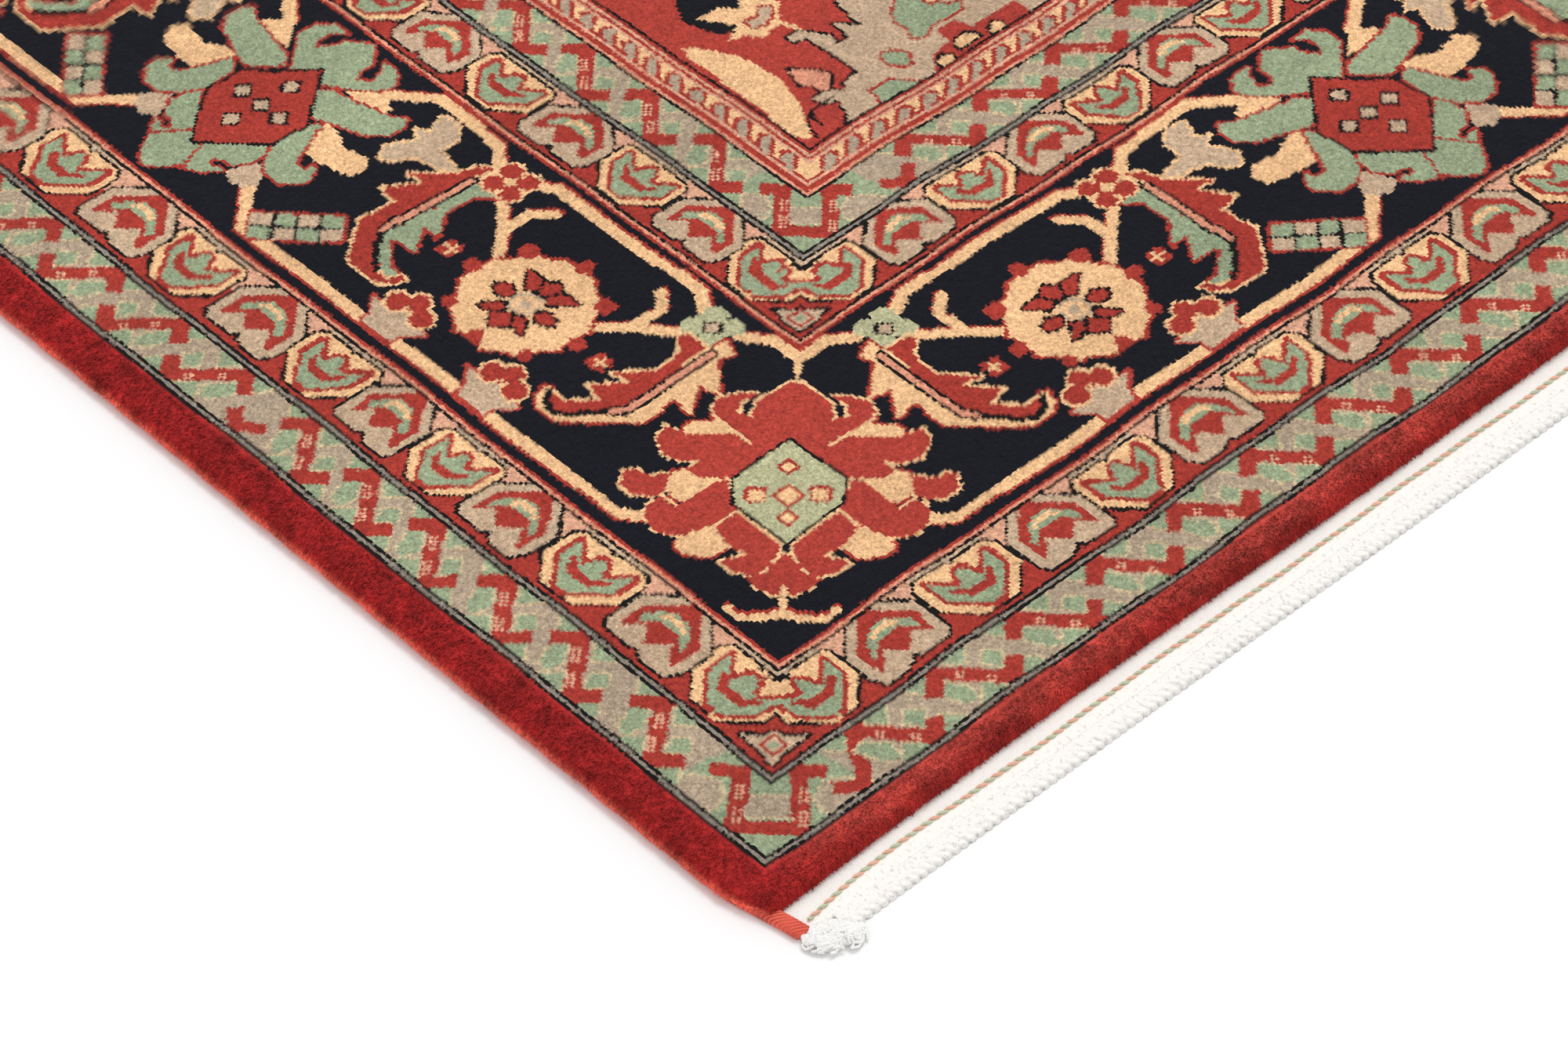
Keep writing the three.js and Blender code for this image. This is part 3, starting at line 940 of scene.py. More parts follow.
def along_path(path, radius, sides=6):
    """Rings of points round a path. radius is one number or one for each point of the path."""
    path = np.asarray(path, float)
    forward = np.gradient(path, axis=0)
    forward /= np.linalg.norm(forward, axis=1, keepdims=True) + 1e-9
    side = np.cross(forward, [0.13, 0.21, 0.97])
    side /= np.linalg.norm(side, axis=1, keepdims=True) + 1e-9
    up = np.cross(side, forward)
    turn = 2 * np.pi * np.arange(sides) / sides
    out = side[:, None] * np.cos(turn)[None, :, None] + up[:, None] * np.sin(turn)[None, :, None]
    return path[:, None] + out * np.broadcast_to(radius, len(path))[:, None, None]


# ---- Colours ----
def linear(red, green, blue):
    """A colour seen on a screen, 0 to 255, as the linear values that a material takes."""
    c = np.array([red, green, blue]) / 255
    return np.where(c <= 0.04045, c / 12.92, ((c + 0.055) / 1.055) ** 2.4)


WOOL_COLOURS = np.array([
    linear(164, 56, 46),  # red
    linear(18, 19, 27),  # navy
    linear(233, 186, 138),  # cream
    linear(192, 164, 136),  # taupe
    linear(217, 146, 118),  # salmon
    linear(147, 159, 127),  # mint
    linear(22, 18, 18),  # black
    linear(140, 130, 118),  # grey
    linear(172, 62, 52),  # rose
    linear(200, 178, 140),  # sand
    linear(178, 176, 138),  # lime
    linear(172, 152, 130),  # stone
    linear(214, 160, 132),  # peach
])
# The plain edge is one red wool. Besides its deep red it has lit and shaded copies painted in: a paler red as
# painted sheen of the nap along the ends, coral as a painted highlight on the long sides' walls, and a darker
# red as painted shade beside the flat weave.
DEEP_RED = linear(164, 36, 36)
END_RED_SHEEN = linear(182, 66, 57)
CORAL_HIGHLIGHT = linear(234, 108, 88)
SHADED_RED = linear(158, 36, 34)
GROUND = RED


def eased(value, start, length):
    """0 before start, 1 from length beyond it, and a smooth rise between."""
    t = np.clip((value - start) / length, 0, 1)
    return t * t * (3 - 2 * t)


def cloud(x, y, size):
    """Soft random blotches about size millimetres across, from about -1 to 1."""
    table = np.random.default_rng(int(size * 10)).normal(0, 0.8, (61, 67))
    u, v = x / size + 200, y / size + 200
    i, j = np.floor(u).astype(int), np.floor(v).astype(int)
    a, b = eased(u - i, 0, 1), eased(v - j, 0, 1)
    corner = [table[(i + di) % 61, (j + dj) % 67] for di, dj in ((0, 0), (1, 0), (0, 1), (1, 1))]
    return (corner[0] * (1 - a) + corner[1] * a) * (1 - b) + (corner[2] * (1 - a) + corner[3] * a) * b


def waver(x, y):
    """How far the weaver's lines wander from the chart."""
    dx = 0.7 * np.sin(y / 47 + 1.3) + 0.5 * np.sin(y / 19 + x / 95)
    dy = 1.2 * np.sin(x / 39 + 0.4) + 0.8 * np.sin(x / 17 - y / 80 + 2.0)
    return dx, dy


def wool_at(chart, x, y):
    """Which wool each place x, y of the pile has."""
    dx, dy = waver(x, y)
    u, v = LINE_HALF_X - np.abs(x + dx), LINE_HALF_Y - np.abs(y + dy)
    i = np.clip((u / KNOT).astype(int), 0, chart.shape[0] - 1)
    j = np.clip((v / KNOT).astype(int), 0, chart.shape[1] - 1)
    return np.where((u < 0) | (v < 0), GROUND, chart[i, j])


def dye_lots_and_lean_shade(x, y):
    """Slow changes of tone from one dye lot to the next, and painted shade where the pile leans over."""
    rows = 0.03 * np.sin(y / 61 + 0.7) + 0.025 * np.sin(y / 23)
    patches = 0.025 * np.sin(x / 83 + y / 140) * np.sin(y / 57 - x / 190)
    return 1 + rows + patches


def pile_colours(chart, x, y, cell, samples):
    """The colour at the four corners of each cell of pile. x, y are the cells' middles."""
    colours = np.zeros((len(x), 4, 3))
    for corner, (sx, sy) in enumerate(((-1, -1), (1, -1), (1, 1), (-1, 1))):
        for a in range(samples):
            for b in range(samples):
                ax, ay = ((a + 0.5) / samples - 0.5) * cell / 2, ((b + 0.5) / samples - 0.5) * cell / 2
                px = x + sx * cell / 4 + ax + rng.normal(0, 0.28, len(x))
                py = y + sy * cell / 4 + ay + rng.normal(0, 0.28, len(x))
                colours[:, corner] += WOOL_COLOURS[wool_at(chart, px, py)] / samples**2
    # Dye lots, painted shade where the pile leans, and a random tone for each knot.
    shade = dye_lots_and_lean_shade(x, y) * (1 + rng.normal(0, 0.08, len(x)))
    return (colours * shade[:, None, None] * (1 + rng.normal(0, 0.03, (len(x), 4, 1)))).reshape(-1, 3)


# ---- Materials ----
class Nodes:
    """Short calls for building a material's node tree."""

    def __init__(self, name):
        self.material = bpy.data.materials.new(name)
        self.material.use_nodes = True
        self.tree = self.material.node_tree
        self.shader = self.tree.nodes["Principled BSDF"]
        self.place = self.add("ShaderNodeTexCoord").outputs["Object"]

    def add(self, kind, inputs=None, **settings):
        node = self.tree.nodes.new(kind)
        for key, value in settings.items():
            setattr(node, key, value)
        for key, value in (inputs or {}).items():
            if isinstance(value, bpy.types.NodeSocket):
                self.tree.links.new(value, node.inputs[key])
            else:
                node.inputs[key].default_value = value
        return node

    def noise(self, size, detail=2.0, stretch=(1, 1, 1)):
        """Noise whose features are about size millimetres across."""
        scaled = self.add("ShaderNodeMapping", {"Vector": self.place, "Scale": stretch})
        texture = self.add(
            "ShaderNodeTexNoise", {"Vector": scaled.outputs[0], "Scale": 1 / (size * MM), "Detail": detail}
        )
        return texture.outputs["Fac"]

    def spread(self, value, low, high):
        """Noise values as numbers from low to high."""
        ranged = self.add(
            "ShaderNodeMapRange",
            {"Value": value, "From Min": 0.3, "From Max": 0.7, "To Min": low, "To Max": high},
        )
        return ranged.outputs[0]

    def maths(self, operation, a, b):
        return self.add("ShaderNodeMath", {0: a, 1: b}, operation=operation).outputs[0]

    def tinted(self, colour, value):
        """A colour made darker or lighter by a number."""
        scaled = self.add("ShaderNodeVectorMath", {0: colour, "Scale": value}, operation="SCALE")
        return scaled.outputs[0]

    def bumped(self, height, distance, strength=1.0):
        bump = self.add("ShaderNodeBump", {"Height": height, "Distance": distance * MM, "Strength": strength})
        self.tree.links.new(bump.outputs[0], self.shader.inputs["Normal"])

    def colour(self, value):
        self.tree.links.new(value, self.shader.inputs["Base Color"])

    def settings(self, **values):
        for key, value in values.items():
            self.shader.inputs[key.replace("_", " ")].default_value = value


def pile_material():
    """Clipped wool: each tuft a little lighter or darker, broad patches painted lighter or darker as shade
    where the pile is brushed different ways, and a soft sheen along the fibres.
    """
    n = Nodes("wool_pile")
    wool = n.add("ShaderNodeAttribute", attribute_name="wool").outputs["Color"]
    fibres = n.noise(0.9, 3.0, (1, 0.6, 1))
    tufts = n.noise(2.6, 2.0)
    brushed_shade = n.noise(55, 2.0)
    shade = n.maths("MULTIPLY", n.spread(fibres, 0.7, 1.3), n.spread(tufts, 0.82, 1.18))
    # Painted shade: broad patches where the pile is brushed different ways.
    shade = n.maths("MULTIPLY", shade, n.spread(brushed_shade, 0.93, 1.07))
    n.colour(n.tinted(wool, shade))
    n.bumped(n.maths("ADD", fibres, tufts), 0.7, 0.7)
    n.settings(Roughness=0.95, Sheen_Weight=0.05, Sheen_Roughness=0.5, Specular_IOR_Level=0.1)
    return n.material


def yarn_material(name, colour, lean, pitch, groove_shade=0.06):
    """Spun yarn: fine slanting plies, with fuzz and painted shade in the grooves between plies. lean says
    which way along x, y, z the plies step; the last argument is how much that painted shade darkens the
    grooves.
    """
    n = Nodes(name)
    turned = n.add("ShaderNodeVectorMath", {0: n.place, 1: lean}, operation="DOT_PRODUCT").outputs["Value"]
    ply = n.maths("SINE", n.maths("MULTIPLY", turned, 2 * math.pi / (pitch * MM)), 0.0)
    fuzz = n.noise(0.7, 3.0)
    patches = n.noise(9, 2.0)
    height = n.maths("ADD", n.maths("MULTIPLY", ply, 0.25), fuzz)
    shade = n.maths("MULTIPLY", n.spread(fuzz, 0.92, 1.08), n.spread(patches, 0.96, 1.04))
    # Painted shade: darker in the grooves between the plies.
    shade = n.maths("MULTIPLY", shade, n.maths("ADD", n.maths("MULTIPLY", ply, groove_shade), 1 - groove_shade / 2))
    base = n.add("ShaderNodeRGB")
    base.outputs[0].default_value = (*colour, 1)
    n.colour(n.tinted(base.outputs[0], shade))
    n.bumped(height, 0.5, 0.7)
    n.settings(Roughness=0.85, Sheen_Weight=0.15, Specular_IOR_Level=0.25)
    return n.material


def weave_material(name, coloured=False):
    """Plain cotton weave: warps one knot apart, crossed by packed wefts, with small pits between that are
    painted darker as shade.
    """
    n = Nodes(name)
    parts = n.add("ShaderNodeSeparateXYZ", {0: n.place})
    warp = n.maths("SINE", n.maths("MULTIPLY", parts.outputs["X"], 2 * math.pi / (KNOT * MM)), 0.0)
    weft = n.maths("SINE", n.maths("MULTIPLY", parts.outputs["Y"], 2 * math.pi / (2.1 * MM)), 0.0)
    fuzz = n.noise(0.8, 3.0)
    crossed = n.maths("MULTIPLY", warp, weft)
    cloth = n.add("ShaderNodeMapRange", {"Value": crossed, "From Min": 0.3}).outputs[0]
    from_middle = n.maths("ABSOLUTE", parts.outputs["Y"], 0.0)
    open_weave = n.add("ShaderNodeMapRange", {
        "Value": from_middle,
        "From Min": (LINE_HALF_Y + TWINED_AT) * MM,
        "From Max": (LINE_HALF_Y + OPEN_FROM) * MM,
        "To Min": 0.25,
    }).outputs[0]
    spots = n.noise(2.2, 1.0, (1, 0.6, 1))
    specks = n.add("ShaderNodeMapRange", {"Value": spots, "From Min": 0.58, "From Max": 0.7})
    # Painted shade: the pits between warps and wefts, and more specks past the twined threads where the weave
    # is open, darken the colour as well as sinking the bump.
    shaded_pits = n.maths("ADD", n.maths("MULTIPLY", cloth, n.spread(n.noise(5), 0.02, 0.16)),
                   n.maths("MULTIPLY", n.maths("MULTIPLY", specks.outputs[0], open_weave), 0.2))
    height = n.maths("SUBTRACT", fuzz, n.maths("MULTIPLY", shaded_pits, 3.0))
    shade = n.maths("SUBTRACT", n.spread(fuzz, 0.95, 1.03), shaded_pits)
    if coloured:
        base = n.add("ShaderNodeAttribute", attribute_name="wool").outputs["Color"]
    else:
        base = n.add("ShaderNodeRGB").outputs[0]
        base.default_value = (*linear(255, 250, 244), 1)
    n.colour(n.tinted(base, shade))
    n.bumped(height, 0.4, 0.6)
    n.settings(Roughness=0.9, Specular_IOR_Level=0.2)
    return n.material


def back_material():
    """The rug's underside: the knots' backs in rows, with the cotton wefts between them."""
    n = Nodes("knotted_back")
    wool = n.add("ShaderNodeAttribute", attribute_name="wool").outputs["Color"]
    parts = n.add("ShaderNodeSeparateXYZ", {0: n.place})
    rows = n.maths("SINE", n.maths("MULTIPLY", parts.outputs["Y"], 2 * math.pi / (KNOT * MM)), 0.0)
    columns = n.maths("SINE", n.maths("MULTIPLY", parts.outputs["X"], 2 * math.pi / (KNOT * MM)), 0.0)
    grains = n.noise(1.2, 2.0)
    weft = n.add("ShaderNodeMapRange", {"Value": rows, "From Min": 0.75, "From Max": 1.0}).outputs[0]
    mixed = n.add("ShaderNodeMix", {"Factor": n.maths("MULTIPLY", weft, 0.5)}, data_type="RGBA")
    n.tree.links.new(wool, mixed.inputs[6])
    mixed.inputs[7].default_value = (*linear(238, 230, 218), 1)
    n.colour(n.tinted(mixed.outputs[2], n.spread(grains, 0.85, 1.12)))
    n.bumped(n.maths("ADD", n.maths("MULTIPLY", columns, 0.4), grains), 0.5, 0.8)
    n.settings(Roughness=0.92, Specular_IOR_Level=0.2)
    return n.material


# ---- The camera, the floor and the light ----
def make_camera():
    """A long lens, looking down at the near left corner of the pattern from past it."""
    aimed_at = Vector((-LINE_HALF_X + 202.1, -LINE_HALF_Y + 204.8, PILE_TOP)) * MM
    away_from, down, heading, roll = 3.4377, math.radians(44.77), math.radians(49.069), math.radians(-2.236)
    level_part = math.cos(down)
    forward = Vector((level_part * math.cos(heading), level_part * math.sin(heading), -math.sin(down)))
    level = Vector((math.sin(heading), -math.cos(heading), 0))
    upright = level.cross(forward)
    right = level * math.cos(roll) + upright * math.sin(roll)
    up = upright * math.cos(roll) - level * math.sin(roll)
    camera = bpy.data.objects.new("camera", bpy.data.cameras.new("camera"))
    camera.data.sensor_width = 36
    camera.data.lens = 126.68
    camera.data.clip_end = 300
    turned = Matrix((right, up, -forward)).transposed().to_4x4()
    camera.matrix_world = Matrix.Translation(aimed_at - forward * away_from) @ turned
    bpy.context.collection.objects.link(camera)
    bpy.context.scene.camera = camera


def make_floor():
    """A plain white floor."""
    n = Nodes("floor_white")
    base = n.add("ShaderNodeRGB")
    base.outputs[0].default_value = (0.93, 0.93, 0.93, 1)
    n.colour(n.tinted(base.outputs[0], n.spread(n.noise(400), 0.995, 1.005)))
    n.settings(Roughness=0.9, Specular_IOR_Level=0.1)
    reach = 90000
    corners = [(-reach, -reach, 0), (reach, -reach, 0), (reach, reach, 0), (-reach, reach, 0)]
    make_object("floor", corners, [(0, 1, 2, 3)], n.material)


def make_light():
    """A white room, and one large soft lamp high on the left."""
    world = bpy.data.worlds.new("studio")
    world.use_nodes = True
    world.node_tree.nodes["Background"].inputs["Color"].default_value = (1, 1, 1, 1)
    world.node_tree.nodes["Background"].inputs["Strength"].default_value = 0.82
    bpy.context.scene.world = world
    lamp = bpy.data.objects.new("soft_lamp", bpy.data.lights.new("soft_lamp", "SUN"))
    lamp.data.energy = 1.0
    lamp.data.angle = math.radians(25)
    lamp.rotation_euler = Vector((0.5, 0.25, 1)).to_track_quat("Z", "Y").to_euler()
    bpy.context.collection.objects.link(lamp)
    bpy.context.scene.view_settings.view_transform = "Standard"


# ---- The patterned pile ----
RING_NAMES = ("outer_latch", "outer_guard", "main_border", "inner_guard", "inner_latch", "comb_band")
CORNER_KNOTS_X = 372  # the corner tiles' size, in knots
CORNER_KNOTS_Y = 361


def pile_tile(name, chart, xs, ys, step, nodes):
    """A rectangle of clipped pile between xs and ys, with a cell for every step knots each way."""
    (x0, x1), (y0, y1) = xs, ys
    across = max(2, round((x1 - x0) / (step * KNOT)))
    along = max(2, round((y1 - y0) / (step * KNOT)))
    x, y = np.meshgrid(np.linspace(x0, x1, across + 1), np.linspace(y0, y1, along + 1), indexing="ij")
    inner = np.zeros(x.shape)
    inner[1:-1, 1:-1] = 1
    middle_x = (x[:-1, :-1] + x[1:, 1:]) / 2
    middle_y = (y[:-1, :-1] + y[1:, 1:]) / 2
    colours = pile_colours(chart, middle_x.ravel(), middle_y.ravel(), step * KNOT, 1 if step == 1 else 2)
    shaken = [inner * rng.normal(0, size, x.shape) for size in (0.3, 0.3, 0.16)]
    z = PILE_TOP - 0.6 + shaken[2]
    points = np.stack([x + shaken[0], y + shaken[1], z], -1).reshape(-1, 3)
    faces = grid_faces(across + 1, along + 1)
    return install(make_object(name, points, faces, WOOL_PILE, colours), "wool_pile", *nodes)


def patterned_pile(chart):
    """All the patterned pile, in tiles that are finest at the near left corner."""
    inner_x, inner_y = LINE_HALF_X - CORNER_KNOTS_X * KNOT, LINE_HALF_Y - CORNER_KNOTS_Y * KNOT
    columns = [-LINE_HALF_X, -inner_x, inner_x, LINE_HALF_X]
    rows = [-LINE_HALF_Y, -inner_y, -inner_y / 3, inner_y / 3, inner_y, LINE_HALF_Y]
    tiles = []
    for i, xs in enumerate(zip(columns, columns[1:])):
        for j, ys in enumerate(zip(rows, rows[1:])):
            last_i, last_j = len(columns) - 2, len(rows) - 2
            touched = {"left": i == 0, "right": i == last_i, "near": j == 0, "far": j == last_j}
            sides = [side for side, here in touched.items() if here]
            nodes = [f"pile_{ring_name}_{side}" for side in sides for ring_name in RING_NAMES]
            nodes.append("pile_field")
            if i == 0 and j == 0:
                half = xs[0] + CORNER_KNOTS_X // 2 * KNOT
                tiles.append(pile_tile("pile_corner_a", chart, (xs[0], half), ys, 1, nodes))
                tiles.append(pile_tile("pile_corner_b", chart, (half, xs[1]), ys, 1, nodes))
            else:
                step = 2 if sides else 3
                tiles.append(pile_tile(f"pile_{i + 1}_{j + 1}", chart, xs, ys, step, nodes))
    return tiles


# ---- The plain red pile round the edge ----
SIDE_PROFILE = [
    (-1.5, 10.6), (0, 11.4), (2.3, 11.5), (4.6, 11.5), (7, 11.5), (9.5, 11.5), (12, 11.5), (14.5, 11.5),
    (17, 11.4), (19.3, 11.2), (21.5, 10.9), (23.5, 10.4), (25.3, 9.7), (26.9, 8.8), (28.2, 7.6),
    (29.1, 6.3), (29.4, 5.0),
    (29.0, 3.9), (27.5, 3.4),
]
END_PROFILE = [
    (-1.5, 10.6), (0, 11.4), (2.3, 11.5), (4.6, 11.5), (6.6, 11.5), (8.5, 11.5), (10.2, 11.5), (11.8, 11.5),
    (13.2, 11.5), (14.6, 11.5), (15.9, 11.4), (17.1, 11.3), (18.2, 11.0), (19.2, 10.5), (20.1, 9.6),
    (20.8, 8.3), (21.2, 6.6), (21.3, 4.6), (21.0, 2.5),
]
SIDE_REACH = SIDE_PROFILE[-3][0]
PULL_IN = 11  # the long sides draw in this much at the corners
TURN_FROM, TURN_OVER = 0.985, 0.015  # where along a side, as a share, its corner starts, and for how long
FINE_STRETCH = 860  # the edge is finest this far along both sides from the near left corner
COARSE_STEP = 5.0  # and has a place this often elsewhere
NEAR_FIBRES = 36000  # loose fibres on each fine stretch


def pull_in(y):
    """How far the long sides have drawn in at y."""
    t = np.clip((np.abs(y) - LINE_HALF_Y + 20) / 80, 0, 1)
    return PULL_IN * t * t * (3 - 2 * t)


def end_waver(x):
    """How far the rug's ends stand out near the corners, and wander elsewhere."""
    from_corner = LINE_HALF_X - np.abs(x)
    return 3.0 * np.exp(-((from_corner + 20) / 70) ** 2) + 0.7 * np.sin(x / 71) - 0.5


def edge_places(side, t, share):
    """Places on the plain edge: side 0 to 3 from the left, t along it and share across its profile."""
    column = share * (len(SIDE_PROFILE) - 1)
    index = np.arange(len(SIDE_PROFILE))
    long_out, long_z = (np.interp(column, index, [p[k] for p in SIDE_PROFILE]) for k in (0, 1))
    end_out, end_z = (np.interp(column, index, [p[k] for p in END_PROFILE]) for k in (0, 1))
    out_x, out_y = ((-1, 0), (0, 1), (1, 0), (0, -1))[side]
    on_long = side % 2 == 0
    reach_out, reach_along = (LINE_HALF_X, LINE_HALF_Y) if on_long else (LINE_HALF_Y, LINE_HALF_X)
    narrow = 1 - 0.14 * eased(np.abs(t), TURN_FROM, TURN_OVER)
    outward = reach_out + (long_out * narrow if on_long else end_out)
    along = t * (reach_along + (end_out if on_long else long_out * narrow))
    x = out_x * outward + out_y * along
    y = out_y * outward - out_x * along
    blend = np.clip((np.abs(t) - TURN_FROM) / TURN_OVER, 0, 1)
    z_own, z_next = (long_z, end_z) if on_long else (end_z, long_z)
    z = z_own * (1 - blend / 2) + z_next * blend / 2
    x = x - np.sign(x) * pull_in(y) * np.clip(np.maximum(long_out, 0) / SIDE_REACH, 0, 1)
    y = y + np.sign(y) * end_waver(x) * np.clip(end_out / 21, 0, 1) * (np.abs(y) > LINE_HALF_Y - 1)
    return np.stack([x, y, z], -1)


def edge_colours(chart, places):
    """Mottled red: paler along the ends as painted sheen, coral down the long sides as a painted highlight
    and darker beside the flat weave as painted shade.
    """
    x, y = places[..., 0], places[..., 1]
    across = np.abs(x) - LINE_HALF_X + pull_in(y)
    beyond = np.abs(y) - LINE_HALF_Y
    # Painted sheen: the red is painted paler along the ends, where the nap leans differently from the long
    # sides.
    end_sheen = eased(LINE_HALF_X - np.abs(x), -10, 70)[..., None]
    # Painted highlight: the long sides' walls below the top are painted coral, lighter than the same red wool
    # on top.
    side_highlight = (eased(across, 23, 5) * eased(9.5 - places[..., 2], 0, 4))[..., None]
    # Painted shade: a darker red at the foot of the ends, beside the flat weave, with a wavy edge.
    weave_shade = (eased(beyond + 3 * cloud(x, y, 24), 8, 12) * 0.8)[..., None]
    plain = DEEP_RED * (1 - end_sheen) + END_RED_SHEEN * end_sheen
    plain = plain * (1 - weave_shade) + SHADED_RED * weave_shade
    plain = plain * (1 - side_highlight) + CORAL_HIGHLIGHT * side_highlight
    blotches = 1 + 0.2 * cloud(x, y, 11) + 0.15 * cloud(x, y, 4)
    wools = wool_at(chart, x, y)
    colours = np.where((wools == GROUND)[..., None], plain * blotches[..., None], WOOL_COLOURS[wools])
    # Dye lots, painted shade where the pile leans, and a random tone at each place.
    return colours * (dye_lots_and_lean_shade(x, y) * (1 + rng.normal(0, 0.07, x.shape)))[..., None]


def edge_stations(side):
    """Places along a side from -1 to 1, closest together by the near left corner."""
    reach = LINE_HALF_Y if side % 2 == 0 else LINE_HALF_X
    coarse = np.arange(-reach, reach, COARSE_STEP)
    near_end = {0: -1, 3: 1}.get(side)
    if near_end is None:
        return np.append(coarse, reach) / reach
    fine = np.arange(0, FINE_STRETCH, KNOT)
    rest = np.arange(FINE_STRETCH, 2 * reach, COARSE_STEP)
    stations = -reach + np.concatenate([fine, rest])
    return np.sort(np.append(stations, reach) * -near_end) / reach


def plain_edge(chart):
    """The plain red pile, one strip for each side."""
    for side, word in enumerate(("left", "far", "right", "near")):
        t = edge_stations(side)
        share = np.linspace(0, 1, len(SIDE_PROFILE))
        t, share = np.meshgrid(t, share, indexing="ij")
        places = edge_places(side, t, share)
        colours = edge_colours(chart, places)
        faces = grid_faces(*t.shape)
        shaken = rng.normal(0, 0.22, places.shape)
        shaken[:, :2] = 0
        shaken[(0, -1), :] = 0
        name = f"pile_plain_{word}"
        piece = make_object(name, places + shaken, faces, WOOL_PILE, colours.reshape(-1, 3)[faces.ravel()])
        install(piece, "wool_pile", f"pile_outer_band_{word}")


def edge_fibres(chart):
    """Wool fibres combed outward over the plain edge: short blades of two quads."""
    for side, word in enumerate(("left", "far", "right", "near")):
        reach = LINE_HALF_Y if side % 2 == 0 else LINE_HALF_X
        near = NEAR_FIBRES if word in ("left", "near") else 0
        t_near = rng.uniform(0, FINE_STRETCH / reach, near) - 1
        t = np.concatenate([t_near if side == 0 else -t_near, rng.uniform(-1, 1, int(reach * 4))])
        share = np.concatenate([rng.uniform(0.1, 0.97, near), rng.uniform(0.5, 0.97, int(reach * 4))])
        root = edge_places(side, t, share)
        down = edge_places(side, t, np.clip(share + 0.04, 0, 1)) - edge_places(side, t, share - 0.04)
        down /= np.linalg.norm(down, axis=1, keepdims=True)
        along = np.zeros_like(root)
        along[:, 1 - side % 2] = 1
        out = np.cross(along, down)
        out *= np.sign((out * [0, 0, 1] + root * [1, 1, 0] * 1e-4).sum(1, keepdims=True))
        length = rng.uniform(1.3, 3.0, len(t))[:, None]
        heading = 0.75 * down + 0.42 * out + rng.normal(0, 0.32, root.shape)
        blade = np.cross(out, heading)
        blade /= np.linalg.norm(blade, axis=1, keepdims=True)
        rows = []
        for step, wide in ((-0.1, 0.36), (0.5, 0.3), (1.0, 0.08)):
            middle = root + heading * length * step - out * length * 0.12 * step**2
            rows.append(np.stack([middle - blade * wide, middle + blade * wide], 1))
        points = np.stack(rows, 1)
        points[..., 2] = np.maximum(points[..., 2], 0.4)
        base = (np.arange(len(t)) * 6)[:, None, None]
        faces = (base + np.array([[0, 1, 3, 2], [2, 3, 5, 4]])[None]).reshape(-1, 4)
        # The fibres take the edge's colours, with its painted sheen, highlight and shade.
        colour = edge_colours(chart, root) * rng.uniform(0.85, 1.2, len(t))[:, None]
        in_plain = (np.abs(root[:, 0]) > LINE_HALF_X + 1) | (np.abs(root[:, 1]) > LINE_HALF_Y + 1)
        keep = np.repeat(in_plain, 2)
        colours = np.repeat(colour, 8, 0)[np.repeat(keep, 4)]
        piece = make_object(f"pile_fibres_{word}", points, faces[keep], WOOL_PILE, colours)
        install(piece, "wool_pile", f"pile_outer_band_{word}")


# ---- The selvedges ----
def selvedge(side, word):
    """One long side's cotton core and the wool overcast round it."""
    wrap = f"selvedge_overcast_{word}"
    outer_edge = max(abs(cad(wrap, k, 0)) for k in (0, 1))
    high, end = cad(wrap, 1, 2), cad(wrap, 1, 1)
    wide = 12.5
    widest = outer_edge - wide / 2
    for name, slot, material, grow, past, ridges in (
        (wrap, "wool_overcast", OVERCAST, 0.0, 0.0, 1.0),
        (f"selvedge_core_{word}", "cotton_cord", CORD, -1.4, -2.0, 0.1),
    ):
        shown = np.arange(0, 50 + past, 0.38)
        hidden = np.arange(-end + 60, end - 60, 12.0)
        y = np.concatenate([-end - past + shown, hidden, end + past - shown[::-1]])
        turn = 2 * np.pi * np.arange(16) / 16
        y_grid, turn_grid = np.meshgrid(y, turn, indexing="ij")
        wrapped = np.abs(np.sin(np.pi * y_grid / 2.8))
        swell = 1 + ridges * (wrapped - 0.6) * 0.25
        squared = 1 / np.maximum(np.abs(np.cos(turn_grid)), np.abs(np.sin(turn_grid))) ** 0.35
        x = side * (widest - pull_in(y_grid)) + (wide / 2 + grow) * 0.94 * np.cos(turn_grid) * swell * squared
        z = high / 2 + (high / 2 + grow) * 0.9 * np.sin(turn_grid) * swell * squared
        y_moved = y_grid - 3.2 * np.cos(turn_grid)
        rings = np.stack([x, y_moved, np.clip(z, 0.15, None)], -1)
        install(make_object(name, *tube(rings), material), slot, name)


